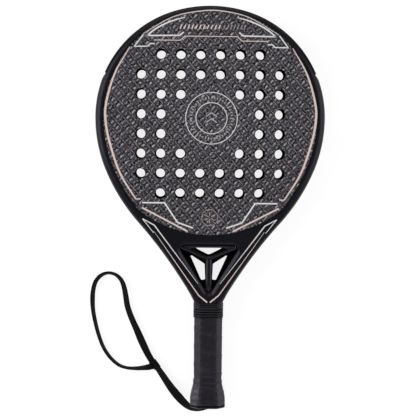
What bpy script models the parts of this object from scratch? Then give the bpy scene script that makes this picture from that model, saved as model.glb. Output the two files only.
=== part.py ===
"""Padel racket lying on its rear face, in metres.

X is across the head, +Y runs from the butt to the crown and +Z is up, out of the front face.
The origin is the middle of the racket's length and width, on the surface it lies on.
Pieces of the racket are drawn about its middle plane and lifted to MID_Z; the wrist strap
is drawn in world coordinates, because it comes down from the butt to that surface.
"""

import math
from collections import namedtuple

import bmesh
import bpy
from mathutils import Vector

# Whole racket
LENGTH = 0.455
THICKNESS = 0.038
MID_Z = THICKNESS / 2
HALF = THICKNESS / 2
GAP = 0.0003
WELD = 0.00001
OVERSHOOT = 0.002

# Outline from the crown down the right side to the grip: radius, sweep in degrees, steps.
# A negative radius bends the other way, into the neck.
OUTLINE_ARCS = (
    (0.141, 17.4, 4),
    (0.124, 71.4, 16),
    (0.154, 23.3, 5),
    (0.206, 20.5, 5),
    (-0.416, 15.1, 6),
)

# Frame tube
TUBE_DEPTH = 0.018
TUBE_SIDE_WALL = 0.0025
TUBE_TOP_WALL = 0.004
TUBE_CORNER = 0.007
TUBE_CHAMFER = 0.003
NECK_TAPER_START = -0.045
NECK_HALF = 0.0149
LEG_REACH = 0.0095
LEG_HALF = 0.0085
LEG_CORNER = 0.002
LEG_CHAMFER = 0.0005
LEG_WALL = 0.002
LEG_START = -0.110
LEG_END = -0.2127

# Edge protector
PROTECTOR = 0.0012
PROTECTOR_STATION = 15

# Hitting surface
HEAD_CENTRE = Vector((0.0, 0.098))
BORDER_CROWN = 0.0055
BORDER_SIDE = 0.009
BORDER_BLEND_Y = 0.150
FACE_FOOT_RADIUS = 0.128
FACE_SHEET = 0.0016
CORE_FOOT_RADIUS = 0.121
HOLE_PITCH = 0.02225
HOLE_RADIUS = 0.0055
HOLE_CENTRE_Y = 0.095
HOLE_SIDES = 12
HOLE_ROWS = (range(1, 7), range(8), (0, 1, 2, 5, 6, 7), (0, 1, 6, 7))
ARC_STEP = math.radians(6)

# Throat
BRIDGE_FOOT_Y = -0.0406
INSERT_FOOT_Y = -0.0925
INSERT_HALF = 0.010
YOKE_HALF = 0.014
YOKE_CENTRE = (0.0, -0.058)
YOKE_BARS = (((0.025, -0.0465), 0.0072), ((-0.025, -0.0465), 0.0072), ((0.0, -0.088), 0.0064))
TOP_WINDOW = ((-0.0164, -0.0446), (0.0164, -0.0446), (0.0, -0.0537))
SIDE_WINDOW = ((0.0210, -0.0535), (0.0082, -0.0823), (0.0039, -0.0817), (0.0047, -0.0639))

# Handle: octagons that are wider than they are thick
OCTAGON_FLAT = 0.00125
OCTAGON_CUT = 0.40
PALLET_HALF = 0.013
PALLET_CUT = 0.005
PALLET_TOP = -0.1108
PALLET_END = -0.1958
GRIP_SHEET = 0.0017
WRAP_SHEET = 0.0007
TAPE_SHEET = 0.0004
GRIP_HALF = 0.015
WRAP_HALF = 0.016
WRAP_TOP = -0.1248
COLLAR_TOP = -0.1078
COLLAR_END = -0.1245
COLLAR_HALF = 0.0169
COLLAR_SHEET = 0.0005
COLLAR_RIBS = 4
RIB_DROP = 0.0004
FLARE_START = -0.198
FLARE_END = -0.216
FLARE = 0.0038
CAP_FLANGE_Y = -0.224
CAP_FLANGE_HALF = 0.0199
CAP_RIM = 0.002
CAP_END_HALF = 0.0185
CAP_BORE = 0.009
PLUG_FACE = -0.222
PLUG_BACK = -0.2173
SLOT_X = 0.0025
STRAP_THICK = 0.0018
STRAP_WIDE = 0.0105
SLOT_PLAY = 0.0004
ANCHOR_THICK = 0.0074
ANCHOR_WIDE = 0.0115
TONGUE_ROOT = 0.001

# Wrist strap
STRAP_RADIUS = 0.0018
TAIL_STEP = 0.004
LOOP_STEP = 0.008
STRAP_EXIT = (SLOT_X, PLUG_FACE - 2 * GAP, MID_Z)
TAIL_ROUTE = (
    STRAP_EXIT,
    (0.0025, -0.2250, 0.0190),
    (0.0015, -0.2282, 0.0189),
    (-0.0018, -0.2304, 0.0186),
    (-0.0068, -0.2313, 0.0180),
    (-0.0132, -0.2312, 0.0169),
    (-0.0204, -0.2296, 0.0148),
    (-0.0276, -0.2252, 0.0118),
    (-0.0343, -0.2186, 0.0085),
    (-0.0412, -0.2106, 0.0058),
    (-0.0478, -0.2022, 0.0045),
    (-0.0535, -0.1943, 0.0046),
    (-0.0581, -0.1880, 0.0048),
)
JOIN_CENTRE = (-0.0617, -0.1827, 0.0048)
JOIN_ANGLE = math.radians(123.5)
JOIN_SIZE = (0.0120, 0.0062, 0.0088)
JOIN_EDGE = 0.0012
LOOP_ROUTE = (
    (-0.0654, -0.1772, 0.0048),
    (-0.0690, -0.1695, 0.0046),
    (-0.0730, -0.1597, 0.0044),
    (-0.0771, -0.1505, 0.0042),
    (-0.0811, -0.1413, 0.0042),
    (-0.0860, -0.1315, 0.0043),
    (-0.0903, -0.1218, 0.0044),
    (-0.0929, -0.1137, 0.0046),
    (-0.0946, -0.1040, 0.0048),
    (-0.0968, -0.0930, 0.0050),
    (-0.1003, -0.0845, 0.0052),
    (-0.1066, -0.0784, 0.0053),
    (-0.1152, -0.0764, 0.0053),
    (-0.1232, -0.0793, 0.0052),
    (-0.1294, -0.0862, 0.0051),
    (-0.1324, -0.0958, 0.0050),
    (-0.1332, -0.1060, 0.0050),
    (-0.1325, -0.1190, 0.0050),
    (-0.1299, -0.1330, 0.0051),
    (-0.1258, -0.1475, 0.0052),
    (-0.1200, -0.1620, 0.0052),
    (-0.1125, -0.1738, 0.0052),
    (-0.1030, -0.1826, 0.0052),
    (-0.0930, -0.1862, 0.0052),
    (-0.0825, -0.1866, 0.0052),
    (-0.0740, -0.1859, 0.0050),
    (-0.0680, -0.1850, 0.0048),
)

# Colour, roughness and metallic value of each piece's material
FINISHES = {
    "frame_tube": ((0.030, 0.031, 0.038), 0.28, 0.0),
    "throat_bridge": ((0.026, 0.027, 0.032), 0.35, 0.0),
    "throat_insert": ((0.018, 0.018, 0.021), 0.38, 0.0),
    "edge_protector": ((0.008, 0.008, 0.009), 0.45, 0.0),
    "front_face": ((0.045, 0.042, 0.050), 0.50, 0.0),
    "rear_face": ((0.045, 0.042, 0.050), 0.50, 0.0),
    "foam_core": ((0.010, 0.010, 0.011), 0.85, 0.0),
    "handle_pallet_front": ((0.300, 0.280, 0.220), 0.80, 0.0),
    "handle_pallet_rear": ((0.300, 0.280, 0.220), 0.80, 0.0),
    "base_grip": ((0.020, 0.020, 0.022), 0.75, 0.0),
    "overgrip": ((0.032, 0.030, 0.036), 0.62, 0.0),
    "finishing_tape": ((0.012, 0.012, 0.013), 0.40, 0.0),
    "grip_collar": ((0.022, 0.024, 0.027), 0.50, 0.0),
    "butt_cap": ((0.015, 0.015, 0.017), 0.35, 0.0),
    "butt_plug": ((0.012, 0.012, 0.013), 0.42, 0.0),
    "strap_anchor": ((0.008, 0.008, 0.009), 0.85, 0.0),
    "strap_tail": ((0.008, 0.008, 0.009), 0.80, 0.0),
    "strap_join": ((0.008, 0.008, 0.009), 0.80, 0.0),
    "strap_loop": ((0.008, 0.008, 0.009), 0.80, 0.0),
}

Station = namedtuple("Station", "point inward depth half corner chamfer wall roof")


# Scene, collections and materials


def clear_scene():
    for old in list(bpy.data.objects):
        bpy.data.objects.remove(old, do_unlink=True)


def new_collection(name):
    collection = bpy.data.collections.new(name)
    bpy.context.scene.collection.children.link(collection)
    return collection


def material_for(name):
    colour, roughness, metallic = FINISHES[name]
    material = bpy.data.materials.new(name)
    material.use_nodes = True
    shader = material.node_tree.nodes["Principled BSDF"]
    shader.inputs["Base Color"].default_value = (*colour, 1.0)
    shader.inputs["Roughness"].default_value = roughness
    shader.inputs["Metallic"].default_value = metallic
    return material


def finish_part(part, name):
    """Name the object, give it its material and put it in the racket's collection."""
    part.name = name
    part.data.name = name
    part.data.materials.clear()
    part.data.materials.append(material_for(name))
    for held in list(part.users_collection):
        held.objects.unlink(part)
    PARTS.objects.link(part)
    part.parent = RACKET
    return part


def make_cutter(tool):
    """Put a helper solid with the cutters, out of the build and drawn as wire."""
    for held in list(tool.users_collection):
        held.objects.unlink(tool)
    CUTTERS.objects.link(tool)
    tool.hide_render = True
    tool.display_type = "WIRE"
    return tool


def apply_boolean(part, tool, operation="DIFFERENCE"):
    modifier = part.modifiers.new(operation.lower(), "BOOLEAN")
    modifier.operation = operation
    modifier.solver = "EXACT"
    modifier.object = make_cutter(tool)


# Shapes


def object_from_bmesh(name, shape, height=MID_Z):
    bmesh.ops.recalc_face_normals(shape, faces=shape.faces)
    mesh = bpy.data.meshes.new(name)
    shape.to_mesh(mesh)
    shape.free()
    made = bpy.data.objects.new(name, mesh)
    made.location.z = height
    bpy.context.scene.collection.objects.link(made)
    return made


def loft(name, rings, capped=True):
    """Skin a list of rings that have the same number of points."""
    shape = bmesh.new()
    rows = [[shape.verts.new(corner) for corner in ring] for ring in rings]
    for low, high in zip(rows, rows[1:]):
        for i, corner in enumerate(low):
            after = (i + 1) % len(low)
            shape.faces.new((corner, low[after], high[after], high[i]))
    if capped:
        shape.faces.new(rows[0])
        shape.faces.new(rows[-1])
    return object_from_bmesh(name, shape)


def plate(name, loops, low, high, height=MID_Z):
    """Extrude flat outlines from low to high; loops inside the first one are holes."""
    data = bpy.data.curves.new(name, "CURVE")
    data.dimensions = "2D"
    data.fill_mode = "BOTH"
    data.extrude = (high - low) / 2
    for loop in loops:
        spline = data.splines.new("POLY")
        spline.points.add(len(loop) - 1)
        for point, corner in zip(spline.points, loop):
            point.co = (corner[0], corner[1], 0.0, 1.0)
        spline.use_cyclic_u = True
    made = bpy.data.objects.new(name, data)
    made.location.z = height + (low + high) / 2
    bpy.context.scene.collection.objects.link(made)
    return made


def as_mesh(curve):
    """The same solid as a welded mesh, so that it can be cut or can cut."""
    bpy.context.view_layer.update()
    ready = curve.evaluated_get(bpy.context.evaluated_depsgraph_get())
    mesh = bpy.data.meshes.new_from_object(ready)
    shape = bmesh.new()
    shape.from_mesh(mesh)
    bmesh.ops.remove_doubles(shape, verts=shape.verts, dist=WELD)
    bmesh.ops.recalc_face_normals(shape, faces=shape.faces)
    shape.to_mesh(mesh)
    shape.free()
    made = bpy.data.objects.new(curve.name, mesh)
    made.matrix_world = curve.matrix_world.copy()
    bpy.context.scene.collection.objects.link(made)
    bpy.data.objects.remove(curve, do_unlink=True)
    return made


def block(name, centre, size, angle=0.0):
    """A box of the given size, turned about Z."""
    shape = bmesh.new()
    bmesh.ops.create_cube(shape, size=1.0)
    bmesh.ops.scale(shape, vec=size, verts=shape.verts)
    made = object_from_bmesh(name, shape, 0.0)
    made.location = centre
    made.rotation_euler.z = angle
    return made


def rod_along_y(name, radius, low_y, high_y, sides=24):
    shape = bmesh.new()
    bmesh.ops.create_cone(
        shape, cap_ends=True, segments=sides, radius1=radius, radius2=radius, depth=high_y - low_y
    )
    made = object_from_bmesh(name, shape)
    made.rotation_euler.x = math.pi / 2
    made.location.y = (low_y + high_y) / 2
    return made


def smooth_sides(part, degrees=35):
    part.data.shade_smooth()
    part.data.set_sharp_from_angle(angle=math.radians(degrees))


def ease(value, start, end):
    """0 before start, 1 after end, and a smooth climb between."""
    t = min(1.0, max(0.0, (value - start) / (end - start)))
    return t * t * (3 - 2 * t)


def mirrored(loop):
    """Close a right-hand half with its mirror image; a point on the axis isn't repeated."""
    other = [(-x, y) for x, y in reversed(loop) if abs(x) > GAP / 10]
    return list(loop) + other


# Outline of the racket


def right_outline():
    """Points down the right side, from the crown to the grip, each with its inward direction."""
    x, y, heading = 0.0, LENGTH / 2, 0.0
    stations = [(Vector((x, y)), Vector((0.0, -1.0)))]
    for radius, sweep, steps in OUTLINE_ARCS:
        turn = math.copysign(math.radians(sweep), radius) / steps
        for _ in range(steps):
            ahead = heading + turn
            x += radius * (math.sin(ahead) - math.sin(heading))
            y += radius * (math.cos(ahead) - math.cos(heading))
            heading = ahead
            inward = Vector((-math.sin(heading), -math.cos(heading)))
            stations.append((Vector((x, y)), inward))
    return stations


def inset_side(depth):
    """The right side moved inwards by depth."""
    return [point + inward * depth for point, inward in right_outline()]


def crossing(a, b, radius):
    """The point between a and b that lies on a circle about the head's centre."""
    low, high = 0.0, 1.0
    for _ in range(40):
        middle = (low + high) / 2
        if (a.lerp(b, middle) - HEAD_CENTRE).length < radius:
            low = middle
        else:
            high = middle
    return a.lerp(b, low)


def head_loop(side, foot_radius):
    """Close a head shape: down the side, then round the foot on a circle about the head."""
    half = []
    for before, after in zip(side, side[1:]):
        half.append(tuple(before))
        if (after - HEAD_CENTRE).length > foot_radius:
            corner = crossing(before, after, foot_radius)
            half.append(tuple(corner))
            break
    start = math.atan2(corner.x, HEAD_CENTRE.y - corner.y)
    steps = math.ceil(start / ARC_STEP)
    for i in range(1, steps + 1):
        angle = start * (1 - i / steps)
        reach = Vector((math.sin(angle), -math.cos(angle))) * foot_radius
        half.append(tuple(HEAD_CENTRE + reach))
    half[-1] = (0.0, half[-1][1])
    return mirrored(half)


def face_side(extra=0.0):
    """The hitting surface's side edge, closer to the outline at the crown than at the sides."""
    side = []
    for point, inward in right_outline():
        blend = ease(point.y, BORDER_BLEND_Y, LENGTH / 2)
        border = BORDER_SIDE + (BORDER_CROWN - BORDER_SIDE) * blend
        side.append(point + inward * (border - extra))
    return side


def hole_loops():
    """One small polygon for each air hole of the grid."""
    loops = []
    size = 2 * len(HOLE_ROWS)
    for row in range(size):
        for column in HOLE_ROWS[min(row, size - 1 - row)]:
            x = (column - (size - 1) / 2) * HOLE_PITCH
            y = HOLE_CENTRE_Y + (row - (size - 1) / 2) * HOLE_PITCH
            turns = [2 * math.pi * (i + 0.5) / HOLE_SIDES for i in range(HOLE_SIDES)]
            loops.append(
                [(x + HOLE_RADIUS * math.cos(t), y + HOLE_RADIUS * math.sin(t)) for t in turns]
            )
    return loops


# Frame and head


def frame_stations():
    """Sections of the tube from the crown to the end of the right leg in the handle."""
    stations = []
    for i, (point, inward) in enumerate(right_outline()):
        recess = PROTECTOR + GAP if i <= PROTECTOR_STATION + 1 else 0.0
        depth = TUBE_DEPTH - recess
        start = point + inward * recess
        reach = (start.x - GAP / 2) / -inward.x if inward.x < 0 else depth
        if start.x > LEG_REACH:
            depth = min(depth, reach)
        neck = ease(-point.y, -NECK_TAPER_START, -LEG_START)
        half = HALF + (NECK_HALF - HALF) * neck
        stations.append(
            Station(start, inward, depth, half, TUBE_CORNER, TUBE_CHAMFER, TUBE_SIDE_WALL, TUBE_TOP_WALL)
        )
    for y in (LEG_START, LEG_END):
        stations.append(
            Station(
                Vector((LEG_REACH, y)), Vector((-1.0, 0.0)), LEG_REACH - GAP / 2,
                LEG_HALF, LEG_CORNER, LEG_CHAMFER, LEG_WALL, LEG_WALL,
            )
        )
    return stations


def ring_at(station, profile):
    return [
        Vector((*(station.point + station.inward * depth), height)) for depth, height in profile
    ]


def tube_profile(s):
    """Outer section: rounded on the outline's side, chamfered on the inner side."""
    upper = [(s.depth, s.half - s.chamfer), (s.depth - s.chamfer, s.half)]
    for turn in (90, 120, 150, 180):
        angle = math.radians(turn)
        upper.append(
            (s.corner * (1 + math.cos(angle)), s.half - s.corner * (1 - math.sin(angle)))
        )
    return upper + [(depth, -height) for depth, height in reversed(upper)]


def bore_profile(s):
    roof = s.half - s.roof
    slope = s.corner * 0.5
    upper = [(s.depth - s.wall, roof), (s.wall + slope, roof), (s.wall, roof - slope)]
    return upper + [(depth, -height) for depth, height in reversed(upper)]


def both_sides(rings):
    """Rings of the left half up to the crown, then those of the right half."""
    left = [[Vector((-p.x, p.y, p.z)) for p in ring] for ring in reversed(rings[1:])]
    return left + rings


def seat_cutters():
    """Room for a hitting surface, let into the front and the rear."""
    loop = head_loop(face_side(GAP), FACE_FOOT_RADIUS + GAP)
    floor = HALF - FACE_SHEET - GAP
    beyond = HALF + OVERSHOOT
    front = as_mesh(plate("seat_front", [loop], floor, beyond))
    rear = as_mesh(plate("seat_rear", [loop], -beyond, -floor))
    return front, rear


def make_frame_tube():
    stations = frame_stations()
    outer = [ring_at(s, tube_profile(s)) for s in stations]
    bore = [ring_at(s, bore_profile(s)) for s in stations]
    bore[-1] = [corner - Vector((0.0, OVERSHOOT, 0.0)) for corner in bore[-1]]
    frame = loft("frame_tube", both_sides(outer))
    apply_boolean(frame, loft("frame_bore", both_sides(bore)))
    for seat in seat_cutters():
        apply_boolean(frame, seat)
    smooth_sides(frame)
    finish_part(frame, "frame_tube")


def make_edge_protector():
    top, side = math.radians(150), math.radians(180)
    profile = []
    for radius, turns in ((TUBE_CORNER, (top, side)), (TUBE_CORNER - PROTECTOR, (side, top))):
        for turn in turns:
            depth = TUBE_CORNER + radius * math.cos(turn)
            height = HALF - TUBE_CORNER + radius * math.sin(turn)
            profile.append((depth, height))
    outer_top, outer_side, inner_side, inner_top = profile
    section = [outer_top, outer_side]
    section += [(outer_side[0], -outer_side[1]), (outer_top[0], -outer_top[1])]
    section += [(inner_top[0], -inner_top[1]), (inner_side[0], -inner_side[1])]
    section += [inner_side, inner_top]
    rings = []
    for point, inward in right_outline()[: PROTECTOR_STATION + 1]:
        rings.append([Vector((*(point + inward * depth), height)) for depth, height in section])
    strip = loft("edge_protector", both_sides(rings))
    smooth_sides(strip)
    finish_part(strip, "edge_protector")


def make_head():
    holes = hole_loops()
    core_loop = head_loop(inset_side(TUBE_DEPTH + GAP), CORE_FOOT_RADIUS)
    core_half = HALF - FACE_SHEET - GAP
    finish_part(plate("foam_core", [core_loop] + holes, -core_half, core_half), "foam_core")
    face_loop = head_loop(face_side(), FACE_FOOT_RADIUS)
    low = HALF - FACE_SHEET
    finish_part(plate("front_face", [face_loop] + holes, low, HALF), "front_face")
    finish_part(plate("rear_face", [face_loop] + holes, -HALF, -low), "rear_face")


# Throat


def side_between(depth, high_y, low_y):
    """The inset side from high_y down to low_y, with its ends cut exactly there."""
    points = []
    side = inset_side(depth)
    for before, after in zip(side, side[1:]):
        for level in (high_y, low_y):
            if before.y > level >= after.y:
                points.append(tuple(before.lerp(after, (before.y - level) / (before.y - after.y))))
        if high_y > after.y > low_y:
            points.append(tuple(after))
    return points


def make_bridge():
    """The solid bar that closes the head above the throat."""
    foot = CORE_FOOT_RADIUS + GAP
    side = inset_side(TUBE_DEPTH + GAP)
    half = []
    for before, after in zip(side, side[1:]):
        if (before - HEAD_CENTRE).length < foot < (after - HEAD_CENTRE).length:
            corner = crossing(before, after, foot)
    start = math.atan2(corner.x, HEAD_CENTRE.y - corner.y)
    steps = math.ceil(start / ARC_STEP)
    for i in range(steps + 1):
        angle = start * i / steps
        half.append((foot * math.sin(angle), HEAD_CENTRE.y - foot * math.cos(angle)))
    half += side_between(TUBE_DEPTH + GAP, corner.y, BRIDGE_FOOT_Y)[1:]
    bridge = as_mesh(plate("throat_bridge", [mirrored(half)], -HALF, HALF))
    for seat in seat_cutters():
        apply_boolean(bridge, seat)
    finish_part(bridge, "throat_bridge")


def make_insert():
    """The recessed web in the throat: a three-cornered rim with a raised Y across it."""
    side = side_between(TUBE_DEPTH + GAP, BRIDGE_FOOT_Y - GAP, INSERT_FOOT_Y)
    windows = [TOP_WINDOW, SIDE_WINDOW, [(-x, y) for x, y in SIDE_WINDOW]]
    insert = as_mesh(plate("throat_insert", [mirrored(side)] + windows, -INSERT_HALF, INSERT_HALF))
    centre = Vector(YOKE_CENTRE)
    for i, (end, width) in enumerate(YOKE_BARS):
        run = Vector(end) - centre
        middle = centre + run / 2
        bar = block(
            f"yoke_bar_{i}", (middle.x, middle.y, MID_Z), (run.length, width, 2 * YOKE_HALF),
            math.atan2(run.y, run.x),
        )
        apply_boolean(insert, bar, "UNION")
    finish_part(insert, "throat_insert")


# Handle


def octagon(y, half, cut=None):
    """An eight-sided ring across the handle, a little flatter than it is wide."""
    wide, thick = half, half - OCTAGON_FLAT
    corner = half * OCTAGON_CUT if cut is None else cut
    quarter = [(wide, thick - corner), (wide - corner, thick)]
    upper = quarter + [(-x, z) for x, z in reversed(quarter)]
    ring = upper + [(-x, -z) for x, z in upper]
    return [Vector((x, y, z)) for x, z in ring]


def sleeve(name, profile, sheet):
    """A tube over the handle: its outer surface as (y, half width), made solid inwards."""
    made = loft(name, [octagon(y, half) for y, half in profile], capped=False)
    wall = made.modifiers.new("wall", "SOLIDIFY")
    wall.thickness = sheet
    wall.offset = -1.0
    wall.use_even_offset = True
    return finish_part(made, name)


def make_pallets():
    """Two foam shells that make the legs of the frame into an eight-sided handle."""
    thick = PALLET_HALF - OCTAGON_FLAT
    pocket_x, pocket_z = LEG_REACH + GAP, LEG_HALF + GAP
    half = [
        (pocket_x, GAP / 2),
        (PALLET_HALF, GAP / 2),
        (PALLET_HALF, thick - PALLET_CUT),
        (PALLET_HALF - PALLET_CUT, thick),
    ]
    loop = half + [(-x, z) for x, z in reversed(half)]
    loop += [(-pocket_x, pocket_z), (pocket_x, pocket_z)]
    for name, side in (("handle_pallet_front", 1), ("handle_pallet_rear", -1)):
        outline = [(x, side * z) for x, z in loop]
        pallet = plate(name, [outline], PALLET_END, PALLET_TOP, 0.0)
        pallet.rotation_euler.x = math.pi / 2
        pallet.location = (0.0, (PALLET_END + PALLET_TOP) / 2, MID_Z)
        finish_part(pallet, name)


def flared(half, top, end):
    """A sleeve's profile: straight from top, then widening over the flare of the butt."""
    return [(top, half), (FLARE_START, half), (FLARE_END, half + FLARE), (end, half + FLARE)]


def make_grip():
    end = CAP_FLANGE_Y + GAP
    sleeve("base_grip", flared(GRIP_HALF, PALLET_TOP, end), GRIP_SHEET)
    sleeve("overgrip", flared(WRAP_HALF, WRAP_TOP, end), WRAP_SHEET)
    tape_half = GRIP_HALF + GAP + TAPE_SHEET
    sleeve("finishing_tape", [(PALLET_TOP, tape_half), (COLLAR_END, tape_half)], TAPE_SHEET)
    profile = []
    pitch = (COLLAR_TOP - COLLAR_END) / COLLAR_RIBS
    for rib in range(COLLAR_RIBS):
        start = COLLAR_TOP - rib * pitch
        for along, drop in ((0.0, RIB_DROP), (0.25, 0.0), (0.75, 0.0)):
            profile.append((start - along * pitch, COLLAR_HALF - drop))
    profile.append((COLLAR_END, COLLAR_HALF - RIB_DROP))
    sleeve("grip_collar", profile, COLLAR_SHEET)


def make_butt():
    """End cap with the handle's socket, its plug, and the strap's stop inside."""
    profile = (
        (PALLET_END - GAP, PALLET_HALF),
        (FLARE_START, PALLET_HALF),
        (FLARE_END, PALLET_HALF + FLARE),
        (CAP_FLANGE_Y, PALLET_HALF + FLARE),
        (CAP_FLANGE_Y, CAP_FLANGE_HALF),
        (CAP_FLANGE_Y - CAP_RIM, CAP_FLANGE_HALF),
        (-LENGTH / 2, CAP_END_HALF),
    )
    cap = loft("butt_cap", [octagon(y, half) for y, half in profile])
    socket_end = LEG_END - GAP
    length = PALLET_END - socket_end + OVERSHOOT
    socket = block(
        "leg_socket", (0.0, socket_end + length / 2, MID_Z),
        (2 * (LEG_REACH + GAP), length, 2 * (LEG_HALF + GAP)),
    )
    apply_boolean(cap, socket)
    bore_end = -LENGTH / 2 - OVERSHOOT
    apply_boolean(cap, rod_along_y("strap_bore", CAP_BORE, bore_end, socket_end + OVERSHOOT / 2))
    finish_part(cap, "butt_cap")

    plug = rod_along_y("butt_plug", CAP_BORE - GAP, PLUG_FACE, PLUG_BACK)
    slot_length = 4 * (PLUG_BACK - PLUG_FACE)
    slot_size = (STRAP_THICK + 2 * SLOT_PLAY, slot_length, STRAP_WIDE + 2 * SLOT_PLAY)
    apply_boolean(plug, block("strap_slot", (SLOT_X, PLUG_FACE, MID_Z), slot_size))
    smooth_sides(plug)
    finish_part(plug, "butt_plug")

    stop_low, stop_high = PLUG_BACK + GAP, socket_end - GAP
    stop = block(
        "strap_anchor", (SLOT_X, (stop_low + stop_high) / 2, MID_Z),
        (ANCHOR_THICK, stop_high - stop_low, ANCHOR_WIDE),
    )
    tongue_high = stop_low + TONGUE_ROOT
    tongue = block(
        "strap_tongue", (SLOT_X, (PLUG_FACE + tongue_high) / 2, MID_Z),
        (STRAP_THICK, tongue_high - PLUG_FACE, STRAP_WIDE),
    )
    apply_boolean(stop, tongue, "UNION")
    finish_part(stop, "strap_anchor")


# Wrist strap


def smooth_route(route, step):
    """Points at even spacing on a smooth curve through the route's own points."""
    points = [Vector(p) for p in route]
    points = [2 * points[0] - points[1]] + points + [2 * points[-1] - points[-2]]
    fine = []
    for i in range(1, len(points) - 2):
        a, b, c, d = points[i - 1 : i + 3]
        for k in range(20):
            t = k / 20
            fine.append(
                0.5 * (2 * b + (c - a) * t + (2 * a - 5 * b + 4 * c - d) * t * t
                       + (3 * b - a - 3 * c + d) * t ** 3)
            )
    fine.append(points[-2])
    total = sum((b - a).length for a, b in zip(fine, fine[1:]))
    count = max(2, round(total / step))
    even, run, target = [fine[0]], 0.0, total / count
    for a, b in zip(fine, fine[1:]):
        length = (b - a).length
        while run + length >= target and len(even) < count:
            even.append(a.lerp(b, (target - run) / length))
            target += total / count
        run += length
    even.append(fine[-1])
    return even


def cord(name, route, step):
    points = smooth_route(route, step)
    data = bpy.data.curves.new(name, "CURVE")
    data.dimensions = "3D"
    data.bevel_depth = STRAP_RADIUS
    data.bevel_resolution = 2
    data.use_fill_caps = True
    spline = data.splines.new("POLY")
    spline.points.add(len(points) - 1)
    for point, place in zip(spline.points, points):
        point.co = (*place, 1.0)
    made = bpy.data.objects.new(name, data)
    bpy.context.scene.collection.objects.link(made)
    return finish_part(made, name)


def make_strap():
    cord("strap_tail", TAIL_ROUTE, TAIL_STEP)
    cord("strap_loop", LOOP_ROUTE, LOOP_STEP)
    join = block("strap_join", JOIN_CENTRE, JOIN_SIZE, JOIN_ANGLE)
    edges = join.modifiers.new("edges", "BEVEL")
    edges.width = JOIN_EDGE
    edges.segments = 2
    finish_part(join, "strap_join")


clear_scene()
PARTS = new_collection("padel_racket")
CUTTERS = new_collection("cutters")
RACKET = bpy.data.objects.new("racket_origin", None)
PARTS.objects.link(RACKET)
make_frame_tube()
make_edge_protector()
make_head()
make_bridge()
make_insert()
make_pallets()
make_grip()
make_butt()
make_strap()
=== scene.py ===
"""Looks of the padel racket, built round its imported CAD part.

Metres, in the CAD frame: X across the head, +Y from the butt to the crown, +Z out of the front.
The racket lies on its rear face at z 0. Each visible piece is a fine mesh that stands for one
or more CAD nodes, and prints are thin raised strips on the surface that they belong to.
"""

import math

import bmesh
import bpy
import numpy as np
from mathutils import Matrix, Vector, geometry


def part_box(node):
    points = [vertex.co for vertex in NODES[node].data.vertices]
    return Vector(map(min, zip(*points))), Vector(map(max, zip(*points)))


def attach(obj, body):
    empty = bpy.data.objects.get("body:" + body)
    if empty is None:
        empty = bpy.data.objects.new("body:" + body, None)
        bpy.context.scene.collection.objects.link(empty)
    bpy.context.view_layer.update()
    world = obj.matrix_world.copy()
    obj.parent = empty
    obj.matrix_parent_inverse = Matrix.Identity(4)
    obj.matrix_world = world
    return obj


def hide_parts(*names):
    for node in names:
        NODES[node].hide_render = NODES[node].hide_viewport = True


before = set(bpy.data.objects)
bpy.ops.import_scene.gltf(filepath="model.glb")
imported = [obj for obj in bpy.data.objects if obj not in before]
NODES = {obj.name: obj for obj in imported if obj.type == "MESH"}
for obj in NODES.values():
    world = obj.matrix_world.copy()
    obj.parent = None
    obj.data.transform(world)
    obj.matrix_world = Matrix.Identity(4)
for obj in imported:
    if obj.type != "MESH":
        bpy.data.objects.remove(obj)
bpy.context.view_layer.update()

# Places taken from the frame
MID_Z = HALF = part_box("front_face")[1].z / 2
CROWN_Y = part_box("edge_protector")[1].y
BUTT_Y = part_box("butt_cap")[0].y
COLLAR_LOW, COLLAR_HIGH = (corner.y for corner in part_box("grip_collar"))
WRAP_LOW, WRAP_HIGH = (corner.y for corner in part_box("overgrip"))
GAP = 0.0003

# Camera
CAMERA_PLACE = Vector((-0.02702, 0.09202, 1.718))
CAMERA_AIM = Vector((-0.00166, 0.00095, 0.038))
CAMERA_ROLL = math.radians(-0.5364)
CAMERA_LENS = 129.60

# Outline: radius, sweep in degrees, steps, from the crown down the right side
OUTLINE_ARCS = (
    (0.141, 17.4, 16),
    (0.124, 71.4, 64),
    (0.154, 23.3, 20),
    (0.206, 20.5, 20),
    (-0.416, 15.1, 24),
)
CORNER = 0.007
NECK_TAPER = (0.045, 0.110)
NECK_HALF = 0.0149
NECK_STUB_Y = -0.113
NECK_SWELL = 0.0007
GROOVE = 0.00125
GROOVE_END = 62
GROOVE_ANGLE = 132

# Hitting surface
HEAD_CENTRE = Vector((0.0, 0.098))
BORDER_CROWN = 0.0055
BORDER_SIDE = 0.009
BORDER_BLEND_Y = 0.150
FACE_FOOT_RADIUS = 0.128
FACE_SHEET = 0.0016
HOLE_PITCH = 0.02225
HOLE_RADIUS = 0.0058
HOLE_CENTRE_Y = 0.095
HOLE_SIDES = 40
CORE_BULGE = 0.0005
HOLE_ROWS = (range(1, 7), range(8), (0, 1, 2, 5, 6, 7), (0, 1, 6, 7))

# The faces' stud pattern: waves per metre across the bands of each kind, and the studs' phases
BAND_WAVE = Vector((86.75, 75.60))
LINE_WAVE = Vector((83.10, -81.25))
STUD_PHASE = (0.78, 0.79)
STUD_HALF = 0.43
STUD_RISE = 0.00017
STUD_FOOT = -0.00009

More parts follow.
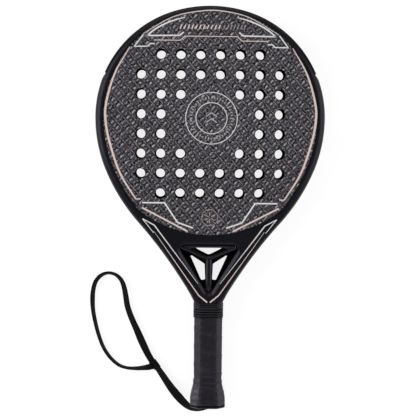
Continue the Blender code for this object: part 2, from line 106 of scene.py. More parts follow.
# Wrist strap: the centreline's own points, as in the CAD source
STRAP_WIDE = 0.0105
STRAP_THICK = 0.0018
STRAP_EXIT = (0.0025, -0.2226, 0.0190)
STRAP_ROUTE = (
    STRAP_EXIT, (0.0025, -0.2250, 0.0190), (0.0015, -0.2282, 0.0189),
    (-0.0018, -0.2304, 0.0186), (-0.0068, -0.2313, 0.0180), (-0.0132, -0.2312, 0.0169),
    (-0.0204, -0.2296, 0.0148), (-0.0276, -0.2252, 0.0118), (-0.0343, -0.2186, 0.0085),
    (-0.0412, -0.2106, 0.0058), (-0.0478, -0.2022, 0.0045), (-0.0535, -0.1943, 0.0046),
    (-0.0581, -0.1880, 0.0048), (-0.0617, -0.1827, 0.0048), (-0.0654, -0.1772, 0.0048),
    (-0.0690, -0.1695, 0.0046), (-0.0730, -0.1597, 0.0044), (-0.0771, -0.1505, 0.0042),
    (-0.0811, -0.1413, 0.0042), (-0.0860, -0.1315, 0.0043), (-0.0903, -0.1218, 0.0044),
    (-0.0929, -0.1137, 0.0046), (-0.0946, -0.1040, 0.0048), (-0.0968, -0.0930, 0.0050),
    (-0.1003, -0.0845, 0.0052), (-0.1066, -0.0784, 0.0053), (-0.1152, -0.0764, 0.0053),
    (-0.1232, -0.0793, 0.0052), (-0.1294, -0.0862, 0.0051), (-0.1324, -0.0958, 0.0050),
    (-0.1332, -0.1060, 0.0050), (-0.1325, -0.1190, 0.0050), (-0.1299, -0.1330, 0.0051),
    (-0.1258, -0.1475, 0.0052), (-0.1200, -0.1620, 0.0052), (-0.1125, -0.1738, 0.0052),
    (-0.1030, -0.1826, 0.0052), (-0.0930, -0.1862, 0.0052), (-0.0825, -0.1866, 0.0052),
    (-0.0740, -0.1859, 0.0050), (-0.0680, -0.1850, 0.0048), (-0.0654, -0.1842, 0.0048),
    (-0.0628, -0.1834, 0.0048),
)
# How far the band stands up from lying flat, in degrees, at some of those points
STRAP_TILTS = (
    (0, 90), (2, 88), (3, 80), (4, 70), (5, 58), (6, 44), (7, 28), (8, 17), (9, 26),
    (10, 38), (11, 43), (12, 50), (13, 48), (14, 44), (15, 42), (16, 35), (17, 36), (18, 43),
    (19, 48), (21, 52), (22, 54), (23, 58), (24, 62), (25, 67), (26, 72), (27, 67), (29, 68),
    (30, 66), (31, 72), (33, 76), (35, 80), (37, 86), (38, 80), (39, 72), (40, 62), (42, 56),
)
# How far the band lies beside the centreline there, to the right of its run, in metres
STRAP_SLIPS = (
    (0, 0.0), (5, 0.0), (7, 0.0013), (9, 0.0008), (11, 0.0016), (12, 0.0018), (14, 0.0010), (15, 0.0),
    (16, -0.0008), (18, -0.0008), (20, 0.0), (24, 0.0003), (27, 0.0), (29, -0.0005), (32, -0.0005),
    (34, 0.0), (36, -0.0006), (38, -0.0003), (42, 0.0),
)
JOIN_INDEX = 13


# Small tools


def ease(value, start, end):
    """0 before start, 1 after end, and a smooth climb between."""
    t = min(1.0, max(0.0, (value - start) / (end - start)))
    return t * t * (3 - 2 * t)


def raised(points, height):
    """Points of the plan at a height over the racket's middle."""
    return [Vector((p.x, p.y, MID_Z + height)) for p in points]


def upright(y, points):
    """(x, z) points about the handle's axis, at a place along it."""
    return [Vector((x, y, z + MID_Z)) for x, z in points]


def mirror(points):
    """The points on the other side of the racket, in the opposite order."""
    return [Vector((-p[0], *p[1:])) for p in reversed(points)]


def mm(*values):
    """Numbers or points in metres, from millimetres."""
    return [tuple(c / 1000 for c in v) if isinstance(v, tuple) else v / 1000 for v in values]


def link(name, data):
    made = bpy.data.objects.new(name, data)
    bpy.context.scene.collection.objects.link(made)
    return made


def mesh_object(name, shape, sharp=35):
    """A closed, outward-facing, smooth-shaded mesh object from a bmesh."""
    bmesh.ops.recalc_face_normals(shape, faces=shape.faces)
    data = bpy.data.meshes.new(name)
    shape.to_mesh(data)
    shape.free()
    data.shade_smooth()
    data.set_sharp_from_angle(angle=math.radians(sharp))
    return link(name, data)


def add_values(piece, **layers):
    """Give a mesh a number per vertex for its material, under each name."""
    for name, values in layers.items():
        layer = piece.data.attributes.new(name, "FLOAT", "POINT")
        layer.data.foreach_set("value", np.array(values, np.float32))


def skin(shape, rows):
    """Faces between rows of vertices of equal length."""
    for low, high in zip(rows, rows[1:]):
        for i, corner in enumerate(low):
            after = (i + 1) % len(low)
            shape.faces.new((corner, low[after], high[after], high[i]))


def add_loft(shape, rings, closed=False):
    """Skin rings of equal length; the ends are capped, or the last ring meets the first."""
    rows = [[shape.verts.new(corner) for corner in ring] for ring in rings]
    skin(shape, rows + rows[:1] if closed else rows)
    if not closed:
        shape.faces.new(rows[0])
        shape.faces.new(rows[-1])


def loft(name, rings, sharp=35, closed=False):
    shape = bmesh.new()
    add_loft(shape, rings, closed)
    return mesh_object(name, shape, sharp)


def inside(points, loop):
    """Which of the points lie inside a closed outline."""
    corners = np.array(loop)[:, :2]
    x, y = points[:, 0], points[:, 1]
    found = np.zeros(len(points), bool)
    for (x0, y0), (x1, y1) in zip(corners, np.roll(corners, -1, axis=0)):
        if y0 != y1:
            found ^= ((y0 > y) != (y1 > y)) & (x < (x1 - x0) * (y - y0) / (y1 - y0) + x0)
    return found


def plan_solid(name, outer, holes, heights=None, inner=(), sharp=35):
    """A solid from stacks of rings that run from the top to the bottom.

    outer and each of holes is such a stack. The top is filled between their first rings and
    the bottom between their last ones, with extra points at inner, whose heights come from
    heights(x, y) as (top, bottom).
    """
    stacks = [outer, *holes]
    places, edges = [], []
    for first_ring, *_ in stacks:
        first, count = len(places), len(first_ring)
        places += [p.xy for p in first_ring]
        edges += [(first + i, first + (i + 1) % count) for i in range(count)]
    rim = len(places)
    places += [Vector(p) for p in inner]
    spots, _, triangles, came_from, *_ = geometry.delaunay_2d_cdt(places, edges, [], 0, 1e-7)
    centres = np.array([sum((spots[i] for i in t), Vector((0.0, 0.0))) / 3 for t in triangles])
    keep = inside(centres, outer[0])
    for stack in holes:
        keep &= ~inside(centres, stack[0])
    shape = bmesh.new()
    top, bottom = [], []
    for stack in stacks:
        rows = [[shape.verts.new(p) for p in ring] for ring in stack]
        top += rows[0]
        bottom += rows[-1]
        skin(shape, rows)
    for x, y in places[rim:]:
        above, below = heights(x, y)
        top.append(shape.verts.new((x, y, above)))
        bottom.append(shape.verts.new((x, y, below)))
    for triangle, kept in zip(triangles, keep):
        if kept:
            ids = [came_from[i][0] for i in triangle]
            shape.faces.new([top[i] for i in ids])
            shape.faces.new([bottom[i] for i in reversed(ids)])
    loose = [v for v in shape.verts if not v.link_faces]
    bmesh.ops.delete(shape, geom=loose, context="VERTS")
    return mesh_object(name, shape, sharp)


def rounded_polygon(corners, radii, insets, steps=6):
    """A convex outline moved inwards by insets[i] on its edge from corner i, with round corners."""
    count = len(corners)
    points = [Vector(c) for c in corners]
    area = sum(a.x * b.y - b.x * a.y for a, b in zip(points, points[1:] + points[:1]))
    turn = 1.0 if area > 0 else -1.0
    lines = []
    for i in range(count):
        run = (points[(i + 1) % count] - points[i]).normalized()
        normal = Vector((-run.y, run.x)) * turn
        lines.append((points[i] + normal * insets[i], run))
    loop = []
    for i in range(count):
        (a, along_a), (b, along_b) = lines[i - 1], lines[i]
        spot = geometry.intersect_line_line_2d(a - along_a, a + along_a * 2, b - along_b, b + along_b * 2)
        if spot is None:
            cross = along_a.x * along_b.y - along_a.y * along_b.x
            gap = b - a
            spot = a + along_a * ((gap.x * along_b.y - gap.y * along_b.x) / cross)
        half_angle = (math.pi - along_a.angle(along_b)) / 2
        back = radii[i] / math.tan(half_angle)
        start, end = spot - along_a * back, spot + along_b * back
        middle = spot + ((end - spot) + (start - spot)).normalized() * radii[i] / math.sin(half_angle)
        first, last = start - middle, end - middle
        sweep = math.atan2(first.x * last.y - first.y * last.x, first.dot(last))
        for k in range(steps + 1):
            angle = sweep * k / steps
            c, s = math.cos(angle), math.sin(angle)
            loop.append(middle + Vector((first.x * c - first.y * s, first.x * s + first.y * c)))
    return loop


def split_edges(loop, count_for):
    """A closed outline with each edge cut into count_for(length) equal parts."""
    finer = []
    for a, b in zip(loop, loop[1:] + loop[:1]):
        count = count_for((b - a).length)
        finer += [a.lerp(b, k / count) for k in range(count)]
    return finer


def run_along(rows):
    """How far along a line of points each one is."""
    return np.concatenate([[0.0], np.cumsum(np.linalg.norm(np.diff(rows, axis=0), axis=1))])


def smooth_route(route, count):
    """Evenly spaced points on a smooth curve through the route, and where each is along it."""
    points = [Vector(p) for p in route]
    padded = [2 * points[0] - points[1], *points, 2 * points[-1] - points[-2]]
    fine, where = [], []
    for i, (a, b, c, d) in enumerate(zip(padded, padded[1:], padded[2:], padded[3:])):
        for t in (k / 40 for k in range(40)):
            cubic = (2 * a - 5 * b + 4 * c - d) * t * t + (3 * b - a - 3 * c + d) * t ** 3
            fine.append(0.5 * (2 * b + (c - a) * t + cubic))
            where.append(i + t)
    rows = np.array([*fine, points[-1]])
    run = run_along(rows)
    spaced = np.linspace(0.0, run[-1], count)
    spots = [Vector(row) for row in np.stack([np.interp(spaced, run, column) for column in rows.T], axis=1)]
    return spots, np.interp(spaced, run, where + [len(points) - 1])


# Materials


BLUE_GLOSS = (0.84, 0.82, 1.0)
PLUM_GLOSS = (0.90, 0.80, 1.0)


class Paint:
    """Builds one material's nodes. An input is a socket to link, or a plain value."""

    def __init__(self, name):
        self.material = bpy.data.materials.new(name)
        self.material.use_nodes = True
        self.tree = self.material.node_tree

    def feed(self, node, inputs):
        for name, value in inputs.items():
            socket = node.inputs[name]
            if hasattr(value, "links"):
                self.tree.links.new(value, socket)
            else:
                socket.default_value = (*value, 1.0) if socket.type == "RGBA" else value

    def node(self, kind, inputs, output=0, **settings):
        made = self.tree.nodes.new(kind)
        for name, value in settings.items():
            setattr(made, name, value)
        self.feed(made, inputs)
        return made.outputs[output]

    def place(self, scale=(1, 1, 1), turn=0.0):
        """Object coordinates, stretched and turned about Z."""
        source = self.node("ShaderNodeTexCoord", {}, "Object")
        return self.node("ShaderNodeMapping", {"Vector": source, "Scale": scale, "Rotation": (0, 0, turn)})

    def layer(self, name):
        return self.node("ShaderNodeAttribute", {}, "Fac", attribute_name=name)

    def noise(self, vector, scale, detail=2.0, roughness=0.5):
        inputs = {"Vector": vector, "Scale": scale, "Detail": detail, "Roughness": roughness}
        return self.node("ShaderNodeTexNoise", inputs)

    def ramp(self, value, low, high, to_low=0.0, to_high=1.0):
        inputs = {"Value": value, "From Min": low, "From Max": high, "To Min": to_low, "To Max": to_high}
        return self.node("ShaderNodeMapRange", inputs)

    def math(self, operation, a, b=0.0):
        return self.node("ShaderNodeMath", {0: a, 1: b}, operation=operation)

    def times(self, a, *others):
        for other in others:
            a = self.math("MULTIPLY", a, other)
        return a

    def away(self, value, middle):
        """How far a value is from middle, either way."""
        return self.math("ABSOLUTE", self.math("SUBTRACT", value, middle))

    def mix(self, factor, a, b, blend="MIX"):
        """Colour a where factor is 0 and b where it is 1."""
        return self.node("ShaderNodeMix", {0: factor, 6: a, 7: b}, 2, data_type="RGBA", blend_type=blend)

    def finish(self, height, depth, strength=1.0, **inputs):
        """Feed the shader, with a bump from height, and give back the material."""
        inputs["Normal"] = self.node(
            "ShaderNodeBump", {"Height": height, "Distance": depth, "Strength": strength}
        )
        shader = self.tree.nodes["Principled BSDF"]
        self.feed(shader, {name.replace("_", " "): value for name, value in inputs.items()})
        return self.material


def lacquer_material(name, dark, light, roughness):
    """Glossy lacquer: a slow change of tone, fine flakes and a faint orange peel."""
    paint = Paint(name)
    place = paint.place()
    base = paint.mix(paint.ramp(paint.noise(place, 14.0, 3.0), 0.3, 0.7), dark, light)
    flake = paint.ramp(paint.noise(place, 2600.0, 1.0), 0.62, 0.72, 0.0, 0.35)
    scuff = paint.noise(paint.place((1.0, 0.25, 1.0), 0.6), 420.0, 3.0)
    return paint.finish(
        paint.noise(place, 900.0), 0.00003, Base_Color=paint.mix(flake, base, (0.10, 0.10, 0.115)),
        Roughness=paint.ramp(scuff, 0.2, 0.8, roughness - 0.05, roughness + 0.07),
        Coat_Weight=0.03, Coat_Roughness=0.15, Specular_IOR_Level=0.26, Specular_Tint=BLUE_GLOSS,
    )


def rough_face_material():
    """Charcoal lacquer over four-sided studs: a painted highlight on two facets of each stud, brighter on one
    of them, the other two left dark, with flat bands between.
    """
    paint = Paint("face_stud_pattern")
    source = paint.node("ShaderNodeTexCoord", {}, "Object")
    grit = paint.noise(source, 560.0, 2.0, 0.7)
    chip = paint.noise(source, 500.0, 3.0, 0.75)
    sand = paint.noise(source, 2600.0, 2.0, 0.7)
    wobble = paint.ramp(paint.noise(source, 420.0, 2.0, 0.6), 0.3, 0.7, -0.14, 0.14)
    spot = []
    for wave, phase in ((BAND_WAVE, STUD_PHASE[0]), (LINE_WAVE, STUD_PHASE[1])):
        pair = {0: source, 1: (*wave, 0.0)}
        dot = paint.node("ShaderNodeVectorMath", pair, "Value", operation="DOT_PRODUCT")
        spot.append(paint.math("SUBTRACT", paint.math("FRACT", paint.math("ADD", dot, 0.5 - phase)), 0.5))
    across, down = (paint.math("ABSOLUTE", value) for value in spot)
    facet = paint.ramp(paint.math("ADD", paint.math("SUBTRACT", down, across), wobble), -0.06, 0.08)
    body = paint.ramp(paint.away(down, 0.23), 0.03, 0.14, 1.0, 0.0)
    side = paint.ramp(spot[1], -0.05, 0.05, 0.42, 1.0)
    # Painted highlight: the facets that face along the lines are painted light, those on one side brighter,
    # as if they caught the light.
    lit = paint.times(facet, body, side, paint.ramp(grit, 0.42, 0.60, 0.05, 1.8))
    tone = paint.mix(paint.ramp(chip, 0.45, 0.60), (0.0015, 0.0012, 0.0022), (0.115, 0.107, 0.125))
    tone = paint.mix(lit, tone, (0.540, 0.517, 0.551))
    # The lines' dark middle, then their light broken edges, then the bands over them
    tone = paint.mix(paint.ramp(down, 0.440, 0.460), tone, (0.010, 0.009, 0.012))
    edge = paint.ramp(paint.away(down, 0.435), 0.0, 0.03, 1.0, 0.0)
    tone = paint.mix(paint.times(edge, paint.ramp(grit, 0.35, 0.6, 0.3, 1.0)), tone, (0.280, 0.268, 0.292))
    band = paint.mix(paint.ramp(grit, 0.40, 0.58), (0.020, 0.018, 0.023), (0.310, 0.298, 0.320))
    tone = paint.mix(paint.ramp(across, 0.440, 0.455), tone, band)
    shade = paint.ramp(paint.noise(source, 9.0), 0.3, 0.7, 0.88, 1.12)
    return paint.finish(
        paint.math("ADD", paint.times(chip, 0.7), paint.times(sand, 0.4)), 0.00024, 0.8,
        Base_Color=paint.mix(1.0, tone, shade, "MULTIPLY"), Roughness=paint.ramp(sand, 0.35, 0.7, 0.62, 0.50),
        Specular_IOR_Level=0.08,
    )


def print_material(name, colour, worn, amount, roughness=0.42):
    """A printed line: even colour, broken a little where the surface below is rough."""
    paint = Paint(name)
    place = paint.place()
    chips = paint.ramp(paint.noise(place, 1300.0, 3.0, 0.7), 0.60 - amount, 0.74 - amount)
    shade = paint.ramp(paint.noise(place, 60.0), 0.3, 0.7)
    base = paint.mix(shade, tuple(0.94 * c for c in colour), colour)
    return paint.finish(
        paint.noise(place, 1500.0), 0.00004, Base_Color=paint.mix(chips, base, worn),
        Roughness=paint.ramp(chips, 0.0, 1.0, roughness, roughness + 0.2),
    )


def moulded_material(name, dark, light, roughness, grain=1400.0, depth=0.00004, coat=0.0, gloss=0.25):
    """Moulded plastic, rubber or foam: fine grain with a slow change of tone."""
    paint = Paint(name)
    place = paint.place()
    fine = paint.noise(place, grain, 3.0, 0.6)
    slow = paint.ramp(paint.noise(place, 45.0, 3.0), 0.3, 0.7)
    return paint.finish(
        fine, depth, Base_Color=paint.mix(slow, dark, light),
        Roughness=paint.ramp(fine, 0.3, 0.7, roughness - 0.06, roughness + 0.08),
        Coat_Weight=coat, Coat_Roughness=0.2, Specular_IOR_Level=gloss, Specular_Tint=BLUE_GLOSS,
    )


def wrap_material():
    """Tacky polyurethane wrap: leathery creases, fine pores and overlap edges worn lighter."""
    paint = Paint("overgrip_wrap")
    place = paint.place()
    crease = paint.noise(paint.place((1.0, 2.2, 1.0), 0.3), 260.0, 4.0, 0.65)
    pores = paint.node("ShaderNodeTexVoronoi", {"Vector": place, "Scale": 1100.0}, "Distance")
    slow = paint.ramp(paint.noise(place, 38.0, 3.0), 0.3, 0.7)
    base = paint.mix(slow, (0.0055, 0.0050, 0.0066), (0.0085, 0.0078, 0.0098))
    base = paint.mix(paint.ramp(crease, 0.56, 0.74, 0.0, 0.6), base, (0.030, 0.028, 0.034))
    worn = paint.times(paint.layer("edge"), paint.ramp(crease, 0.35, 0.65, 0.1, 0.8))
    base = paint.mix(worn, base, (0.036, 0.034, 0.040))
    # Painted highlight: a lighter tone on the pleats' crests and the flare's slanted sides, taken from the
    # crease attribute.
    painted_highlight = paint.times(paint.layer("crease"), paint.ramp(crease, 0.36, 0.62, 0.35, 1.0))
    return paint.finish(
        paint.math("ADD", crease, paint.times(pores, 0.5)), 0.00030, 0.8,
        Base_Color=paint.mix(painted_highlight, base, (0.125, 0.120, 0.135)),
        Roughness=paint.ramp(crease, 0.3, 0.7, 0.34, 0.50), Specular_IOR_Level=0.54, Specular_Tint=PLUM_GLOSS,
    )


def webbing_material():
    """Black woven band: cross ribs, each with slanted yarns, whose crests and fuzz are painted lighter, a
    painted highlight on the weave.
    """
    paint = Paint("strap_weave")
    across = paint.layer("across")
    slant = paint.math("ADD", paint.times(paint.layer("along"), 5200.0), paint.times(across, 24.0))
    weave = paint.times(paint.math("SINE", slant), paint.math("SINE", paint.times(across, 46.0)))
    fuzz = paint.noise(paint.place(), 2400.0, 2.0, 0.7)
    lit = paint.math("ADD", paint.ramp(weave, -1.0, 1.0, 0.0, 0.6), paint.ramp(fuzz, 0.3, 0.7, 0.0, 0.5))
    return paint.finish(
        paint.math("ADD", paint.times(weave, 0.5), fuzz), 0.00012,
        Base_Color=paint.mix(lit, (0.0015, 0.0015, 0.0019), (0.0115, 0.0115, 0.0140)),
        Roughness=0.85, Specular_IOR_Level=0.06, Sheen_Weight=0.01, Sheen_Roughness=0.5,
    )


def wear(piece, material):
    piece.data.materials.clear()
    piece.data.materials.append(material)


def shown(piece, material, slot, *nodes):
    """Give a piece its material and body, and hide the CAD nodes that it stands for. The slot argument is not
    used.
    """
    wear(piece, material)
    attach(piece, "root")
    if nodes:
        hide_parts(*nodes)
    return piece


def second_material(piece, material, chosen):
    """Give another material to the faces that chosen(centre, normal) picks."""
    piece.data.materials.append(material)
    place = len(piece.data.materials) - 1
    for face in piece.data.polygons:
        if chosen(face.center, face.normal):
            face.material_index = place


# Camera


def make_camera():
    data = bpy.data.cameras.new("camera")
    data.lens = CAMERA_LENS
    data.sensor_width = 36.0
    data.clip_start, data.clip_end = 0.05, 20.0
    look = (CAMERA_AIM - CAMERA_PLACE).normalized()
    right = look.cross(Vector((math.sin(CAMERA_ROLL), math.cos(CAMERA_ROLL), 0.0))).normalized()
    turned = Matrix((right, right.cross(look), -look)).transposed().to_4x4()
    made = link("camera", data)
    made.matrix_world = Matrix.Translation(CAMERA_PLACE) @ turned
    bpy.context.scene.camera = made


# Wrist strap


def strap_section(wide, thick):
    """Half-round edges and flat faces: (across, through) pairs round the band."""
    pairs = []
    edge = thick * 0.45
    flats = 7
    for sign in (1, -1):
        for angle in map(math.radians, (-90, -50, -18, 18, 50, 90)):
            pairs.append((sign * (wide / 2 - edge + edge * math.cos(angle)), sign * edge * math.sin(angle)))
        for k in range(1, flats):
            pairs.append((sign * (wide / 2 - edge) * (1 - 2 * k / flats), sign * thick / 2))
    return pairs


def band_axes(places, i, tilt):
    """Directions at a place of a band that stands up by tilt: along, across and through it."""
    run = (places[min(len(places) - 1, i + 1)] - places[max(0, i - 1)]).normalized()
    side = Vector((run.y, -run.x, 0.0)).normalized()
    width = side * math.cos(tilt) + side.cross(run) * math.sin(tilt)
    return run, width, width.cross(run)


def band(name, places, tilts, wide, thick, rib, material):
    """A woven band along places, standing up by tilts, with a rib every rib metres."""
    section = strap_section(wide, thick)
    rings, along, across = [], [], []
    for i, (place, run) in enumerate(zip(places, run_along(np.array(places)))):
        _, width, through = band_axes(places, i, tilts[i])
        hollow = 0.16 * (1 - math.sin(math.pi * run / rib) ** 2)
        ring = []
        for a, b in section:
            inner = 1.0 - min(1.0, abs(a) / (wide * 0.46)) ** 6
            ring.append(place + width * a + through * b * (1.0 - hollow * inner))
            along.append(run)
            across.append(a / wide)
        rings.append(ring)
    made = loft(name, rings, 60)
    add_values(made, along=along, across=across)
    return shown(made, material, "strap_webbing")


def make_strap(material):
    count = 1000
    places, where = smooth_route(STRAP_ROUTE, count)
    kernel = np.hanning(31)
    kernel /= kernel.sum()
    rows = []
    for table in (STRAP_TILTS, STRAP_SLIPS):
        values = np.pad(np.interp(where, *zip(*table)), 15, mode="edge")
        rows.append(np.convolve(values, kernel, mode="valid"))
    tilts, slips = np.radians(rows[0]), rows[1]
    runs = [(b - a).normalized() for a, b in zip(places, places[1:])]
    for place, run, tilt, slip in zip(places, runs + runs[-1:], tilts, slips):
        place += Vector((run.y, -run.x, 0.0)) * slip
        lowest = (STRAP_WIDE * math.sin(tilt) + STRAP_THICK * math.cos(tilt)) / 2
        place.z = max(place.z, lowest + 0.0001)
    length = sum((b - a).length for a, b in zip(places, places[1:]))
    strap = band("wrist_strap", places, tilts, STRAP_WIDE, STRAP_THICK, 0.0015, material)
    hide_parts("strap_tail", "strap_loop")

    middle = int(np.argmin(np.abs(where - JOIN_INDEX)))
    reach = round(0.0052 / length * count)
    lap = slice(middle - reach, middle + reach + 1)
    sleeve = band(
        "strap_join_lap", places[lap], tilts[lap], STRAP_WIDE + 0.0016, STRAP_THICK + 0.0020, 0.0015, material
    )
    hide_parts("strap_join")
    stitches = make_join_stitches(places, tilts, middle, reach)
    [tuple(p) for p in places]


def add_stitch(shape, start, end, out, radius):
    """One lock stitch: a thread that rises from the cloth, runs and dips back in."""
    run = end - start
    side = run.cross(out).normalized()
    turns = [2 * math.pi * j / 8 for j in range(8)]
    rings = []
    for t in (k / 8 for k in range(9)):
        centre = start + run * t + out * radius * (1.4 * math.sin(math.pi * t) - 0.3)
        rings.append([centre + (side * math.cos(a) + out * math.sin(a)) * radius for a in turns])
    add_loft(shape, rings)


def make_join_stitches(places, tilts, middle, reach):
    """Two rows of lock stitches and a zigzag that hold the loop's end in its lap."""
    shape = bmesh.new()
    half = STRAP_WIDE / 2 - 0.0012
    steps = 5
    for share in (-0.72, 0.0, 0.72):
        i = middle + round(share * reach)
        run, width, out = band_axes(places, i, tilts[i])
        if out.z < 0:
            out = -out
        centre = places[i] + out * (STRAP_THICK / 2 + 0.0011)
        for k in range(steps):
            low = -half + 2 * half * k / steps
            high = low + 2 * half / steps * 0.8
            slip = run * (0.0005 if share == 0.0 and k % 2 else 0.0)
            add_stitch(shape, centre + width * low - slip, centre + width * high + slip, out, 0.00022)
    thread = moulded_material("strap_thread", (0.010, 0.010, 0.011), (0.022, 0.022, 0.024), 0.6, 4000.0)
    return shown(mesh_object("strap_join_stitches", shape, 60), thread, "strap_webbing")


# Outline and the frame's shell


def right_side():
    """Points down the right side, from the crown to the grip, each with its inward direction."""
    x, y, heading = 0.0, CROWN_Y, 0.0
    side = [(Vector((x, y)), Vector((0.0, -1.0)))]
    for radius, sweep, steps in OUTLINE_ARCS:
        turn = math.copysign(math.radians(sweep), radius) / steps
        for _ in range(steps):
            ahead = heading + turn
            x += radius * (math.sin(ahead) - math.sin(heading))
            y += radius * (math.cos(ahead) - math.cos(heading))
            heading = ahead
            fuller = NECK_SWELL * ease(-y, 0.0, 0.045) * (1 - ease(-y, 0.070, 0.100))
            side.append((Vector((x + fuller, y)), Vector((-math.sin(heading), -math.cos(heading)))))
    return side


SIDE = right_side()


def border_at(y):
    return BORDER_SIDE + (BORDER_CROWN - BORDER_SIDE) * ease(y, BORDER_BLEND_Y, CROWN_Y)


def corner_reach(y):
    """How far in the rounded edge goes: less at the crown, where the border is narrow."""
    return min(CORNER, border_at(y) - 0.0009)


def half_at(y):
    """Half the frame's thickness, which shrinks down the neck."""
    return HALF + (NECK_HALF - HALF) * ease(-y, *NECK_TAPER)


def surface_z(x, y):
    """Height of the frame's or face's front surface over a point of the plan."""
    spot = Vector((abs(x), y))
    point, inward = min(SIDE, key=lambda s: (s[0] - spot).length_squared)
    level = 1 - max(0.0, (spot - point).dot(inward)) / corner_reach(y)
    drop = CORNER * (1 - math.sqrt(1 - level * level)) if level > 0 else 0.0
    return MID_Z + half_at(y) - drop


def edge_spot(turn, half, reach, cut):
    """Depth inwards and height at an angle in degrees of the rounded edge, moved in by cut."""
    c, s = math.cos(math.radians(turn)), math.sin(math.radians(turn))
    return reach * (1 + c) - cut * c, half - CORNER * (1 - s) - cut * s


def edge_ring(turn, sign):
    """The outline's ring at one angle of the rounded edge, on the front or the rear."""
    right = []
    for i, (point, inward) in enumerate(SIDE):
        cut = GROOVE * (1 - ease(i, GROOVE_END - 2, GROOVE_END + 1)) if turn > GROOVE_ANGLE else 0.0
        depth, height = edge_spot(turn, half_at(point.y), corner_reach(point.y), cut)
        right += raised([point + inward * depth], sign * height)
    right.append(Vector((right[-1].x, NECK_STUB_Y, right[-1].z)))
    return mirror(right[1:]) + right


def crossing(a, b, radius):
    """The point between a and b that lies on a circle about the head's centre."""
    low, high = 0.0, 1.0
    for _ in range(40):
        middle = (low + high) / 2
        if (a.lerp(b, middle) - HEAD_CENTRE).length < radius:
            low = middle
        else:
            high = middle
    return a.lerp(b, low)


def face_loop(extra, foot_radius):
    """The hitting surface's outline, grown by extra: the sides, and a foot on a circle."""
    half = []
    side = [point + inward * (border_at(point.y) - extra) for point, inward in SIDE]
    for before, after in zip(side, side[1:]):
        half.append(before)
        if (after - HEAD_CENTRE).length > foot_radius:
            half.append(crossing(before, after, foot_radius))
            break
    start = math.atan2(half[-1].x, HEAD_CENTRE.y - half[-1].y)
    steps = 24
    for i in range(1, steps + 1):
        angle = start * (1 - i / steps)
        half.append(HEAD_CENTRE + Vector((math.sin(angle), -math.cos(angle))) * foot_radius)
    half[0].x = half[-1].x = 0.0
    return half + mirror(half[1:-1])


RECESS = ((0.0353, -0.0413), (-0.0353, -0.0413), (0.0, -0.0985))
RECESS_RADII = (0.0050, 0.0050, 0.0030)
# Rings down the throat's opening: inset of its top edge and of its legs, and drop below the surface
RECESS_STEPS = (
    (-0.0055, -0.0046, 0.0),
    (-0.0036, -0.0042, 0.00012),
    (-0.0016, -0.0032, 0.0007),
    (-0.0006, -0.0008, 0.0024),
    (-0.0002, 0.0, 0.0033),
    (0.0001, 0.0003, 0.0046),
    (0.0003, 0.0005, 0.0080),
)


def both_faces(rings):
    """Rings on the front, from the given function of the sign, then the same on the rear, reversed."""
    return [ring(1) for ring in rings] + [ring(-1) for ring in reversed(rings)]


def recess_ring(step, sign):
    top, leg, drop = step
    radii = [max(0.0012, r - leg) for r in RECESS_RADII]
    outline = rounded_polygon(RECESS, radii, (top, leg, leg), 8)
    return [Vector((p.x, p.y, MID_Z + sign * (half_at(p.y) - drop))) for p in outline]


def make_frame(material, shade_black, satin):
    turns = (90, 99, 108, 117, 124, 130, 132, 133, 139, 147, 156, 165, 173, 180)
    outer = both_faces([lambda sign, turn=turn: edge_ring(turn, sign) for turn in turns])
    seat = face_loop(GAP, FACE_FOOT_RADIUS + GAP)
    recess = both_faces([lambda sign, step=step: recess_ring(step, sign) for step in RECESS_STEPS])
    shell = plan_solid("frame_shell", outer, [[raised(seat, HALF), raised(seat, -HALF)], recess], sharp=24)
    shown(shell, material, "frame_lacquer", "frame_tube", "throat_bridge")

    def in_recess(centre, normal):
        in_throat = -0.087 <= centre.y <= -0.036 and abs(centre.x) <= 0.040 * (centre.y + 0.104) / 0.064
        return in_throat and abs(centre.z - MID_Z) < half_at(centre.y) - 0.0022

    def on_side(centre, normal):
        return abs(normal.z) < 0.5 and not (abs(centre.x) < 0.042 and -0.1 < centre.y < 0.226)

    # Painted shade: the deep walls of the throat's opening take the matte black.
    second_material(shell, shade_black, in_recess)
    second_material(shell, satin, on_side)


def make_protector(material):
    """The strip in the frame's groove, rounded at both edges and thinned at its two ends."""
    turns = [134 + 46 * k / 7 for k in range(8)]
    rings = []
    for i, (point, inward) in enumerate(SIDE[: GROOVE_END - 1]):
        thick = 0.0011 * (1 - 0.75 * ease(i, GROOVE_END - 6, GROOVE_END - 2))
        reach = corner_reach(point.y)
        softened = zip(turns, [0.45 * thick, 0.12 * thick] + [0.0] * 6)
        outer = [edge_spot(turn, HALF, reach, cut) for turn, cut in softened]
        inner = [edge_spot(turn, HALF, reach, thick) for turn in turns]
        section = outer + [(d, -h) for d, h in reversed(outer)] + [(d, -h) for d, h in inner] + inner[::-1]
        rings.append([raised([point + inward * depth], height)[0] for depth, height in section])
    left = [[Vector((-p.x, p.y, p.z)) for p in ring] for ring in reversed(rings[1:])]
    shown(loft("edge_guard", left + rings, 30), material, "protector_film", "edge_protector")


# Faces and core


def hole_centres():
    size = 2 * len(HOLE_ROWS)
    for row in range(size):
        for column in HOLE_ROWS[min(row, size - 1 - row)]:
            yield (
                (column - (size - 1) / 2) * HOLE_PITCH,
                HOLE_CENTRE_Y + (row - (size - 1) / 2) * HOLE_PITCH,
            )


def circle(x, y, radius, z, sides=HOLE_SIDES):
    turns = [2 * math.pi * i / sides for i in range(sides)]
    return [Vector((x + radius * math.cos(t), y + radius * math.sin(t), z)) for t in turns]


def stud_height(x, y):
    """Height of the stud pattern over the flat of the face."""
    far = max(
        abs((x * wave.x + y * wave.y - phase + 0.5) % 1.0 - 0.5)
        for wave, phase in zip((BAND_WAVE, LINE_WAVE), STUD_PHASE)
    ) / STUD_HALF
    return STUD_FOOT + STUD_RISE * max(0.0, 1.0 - far)


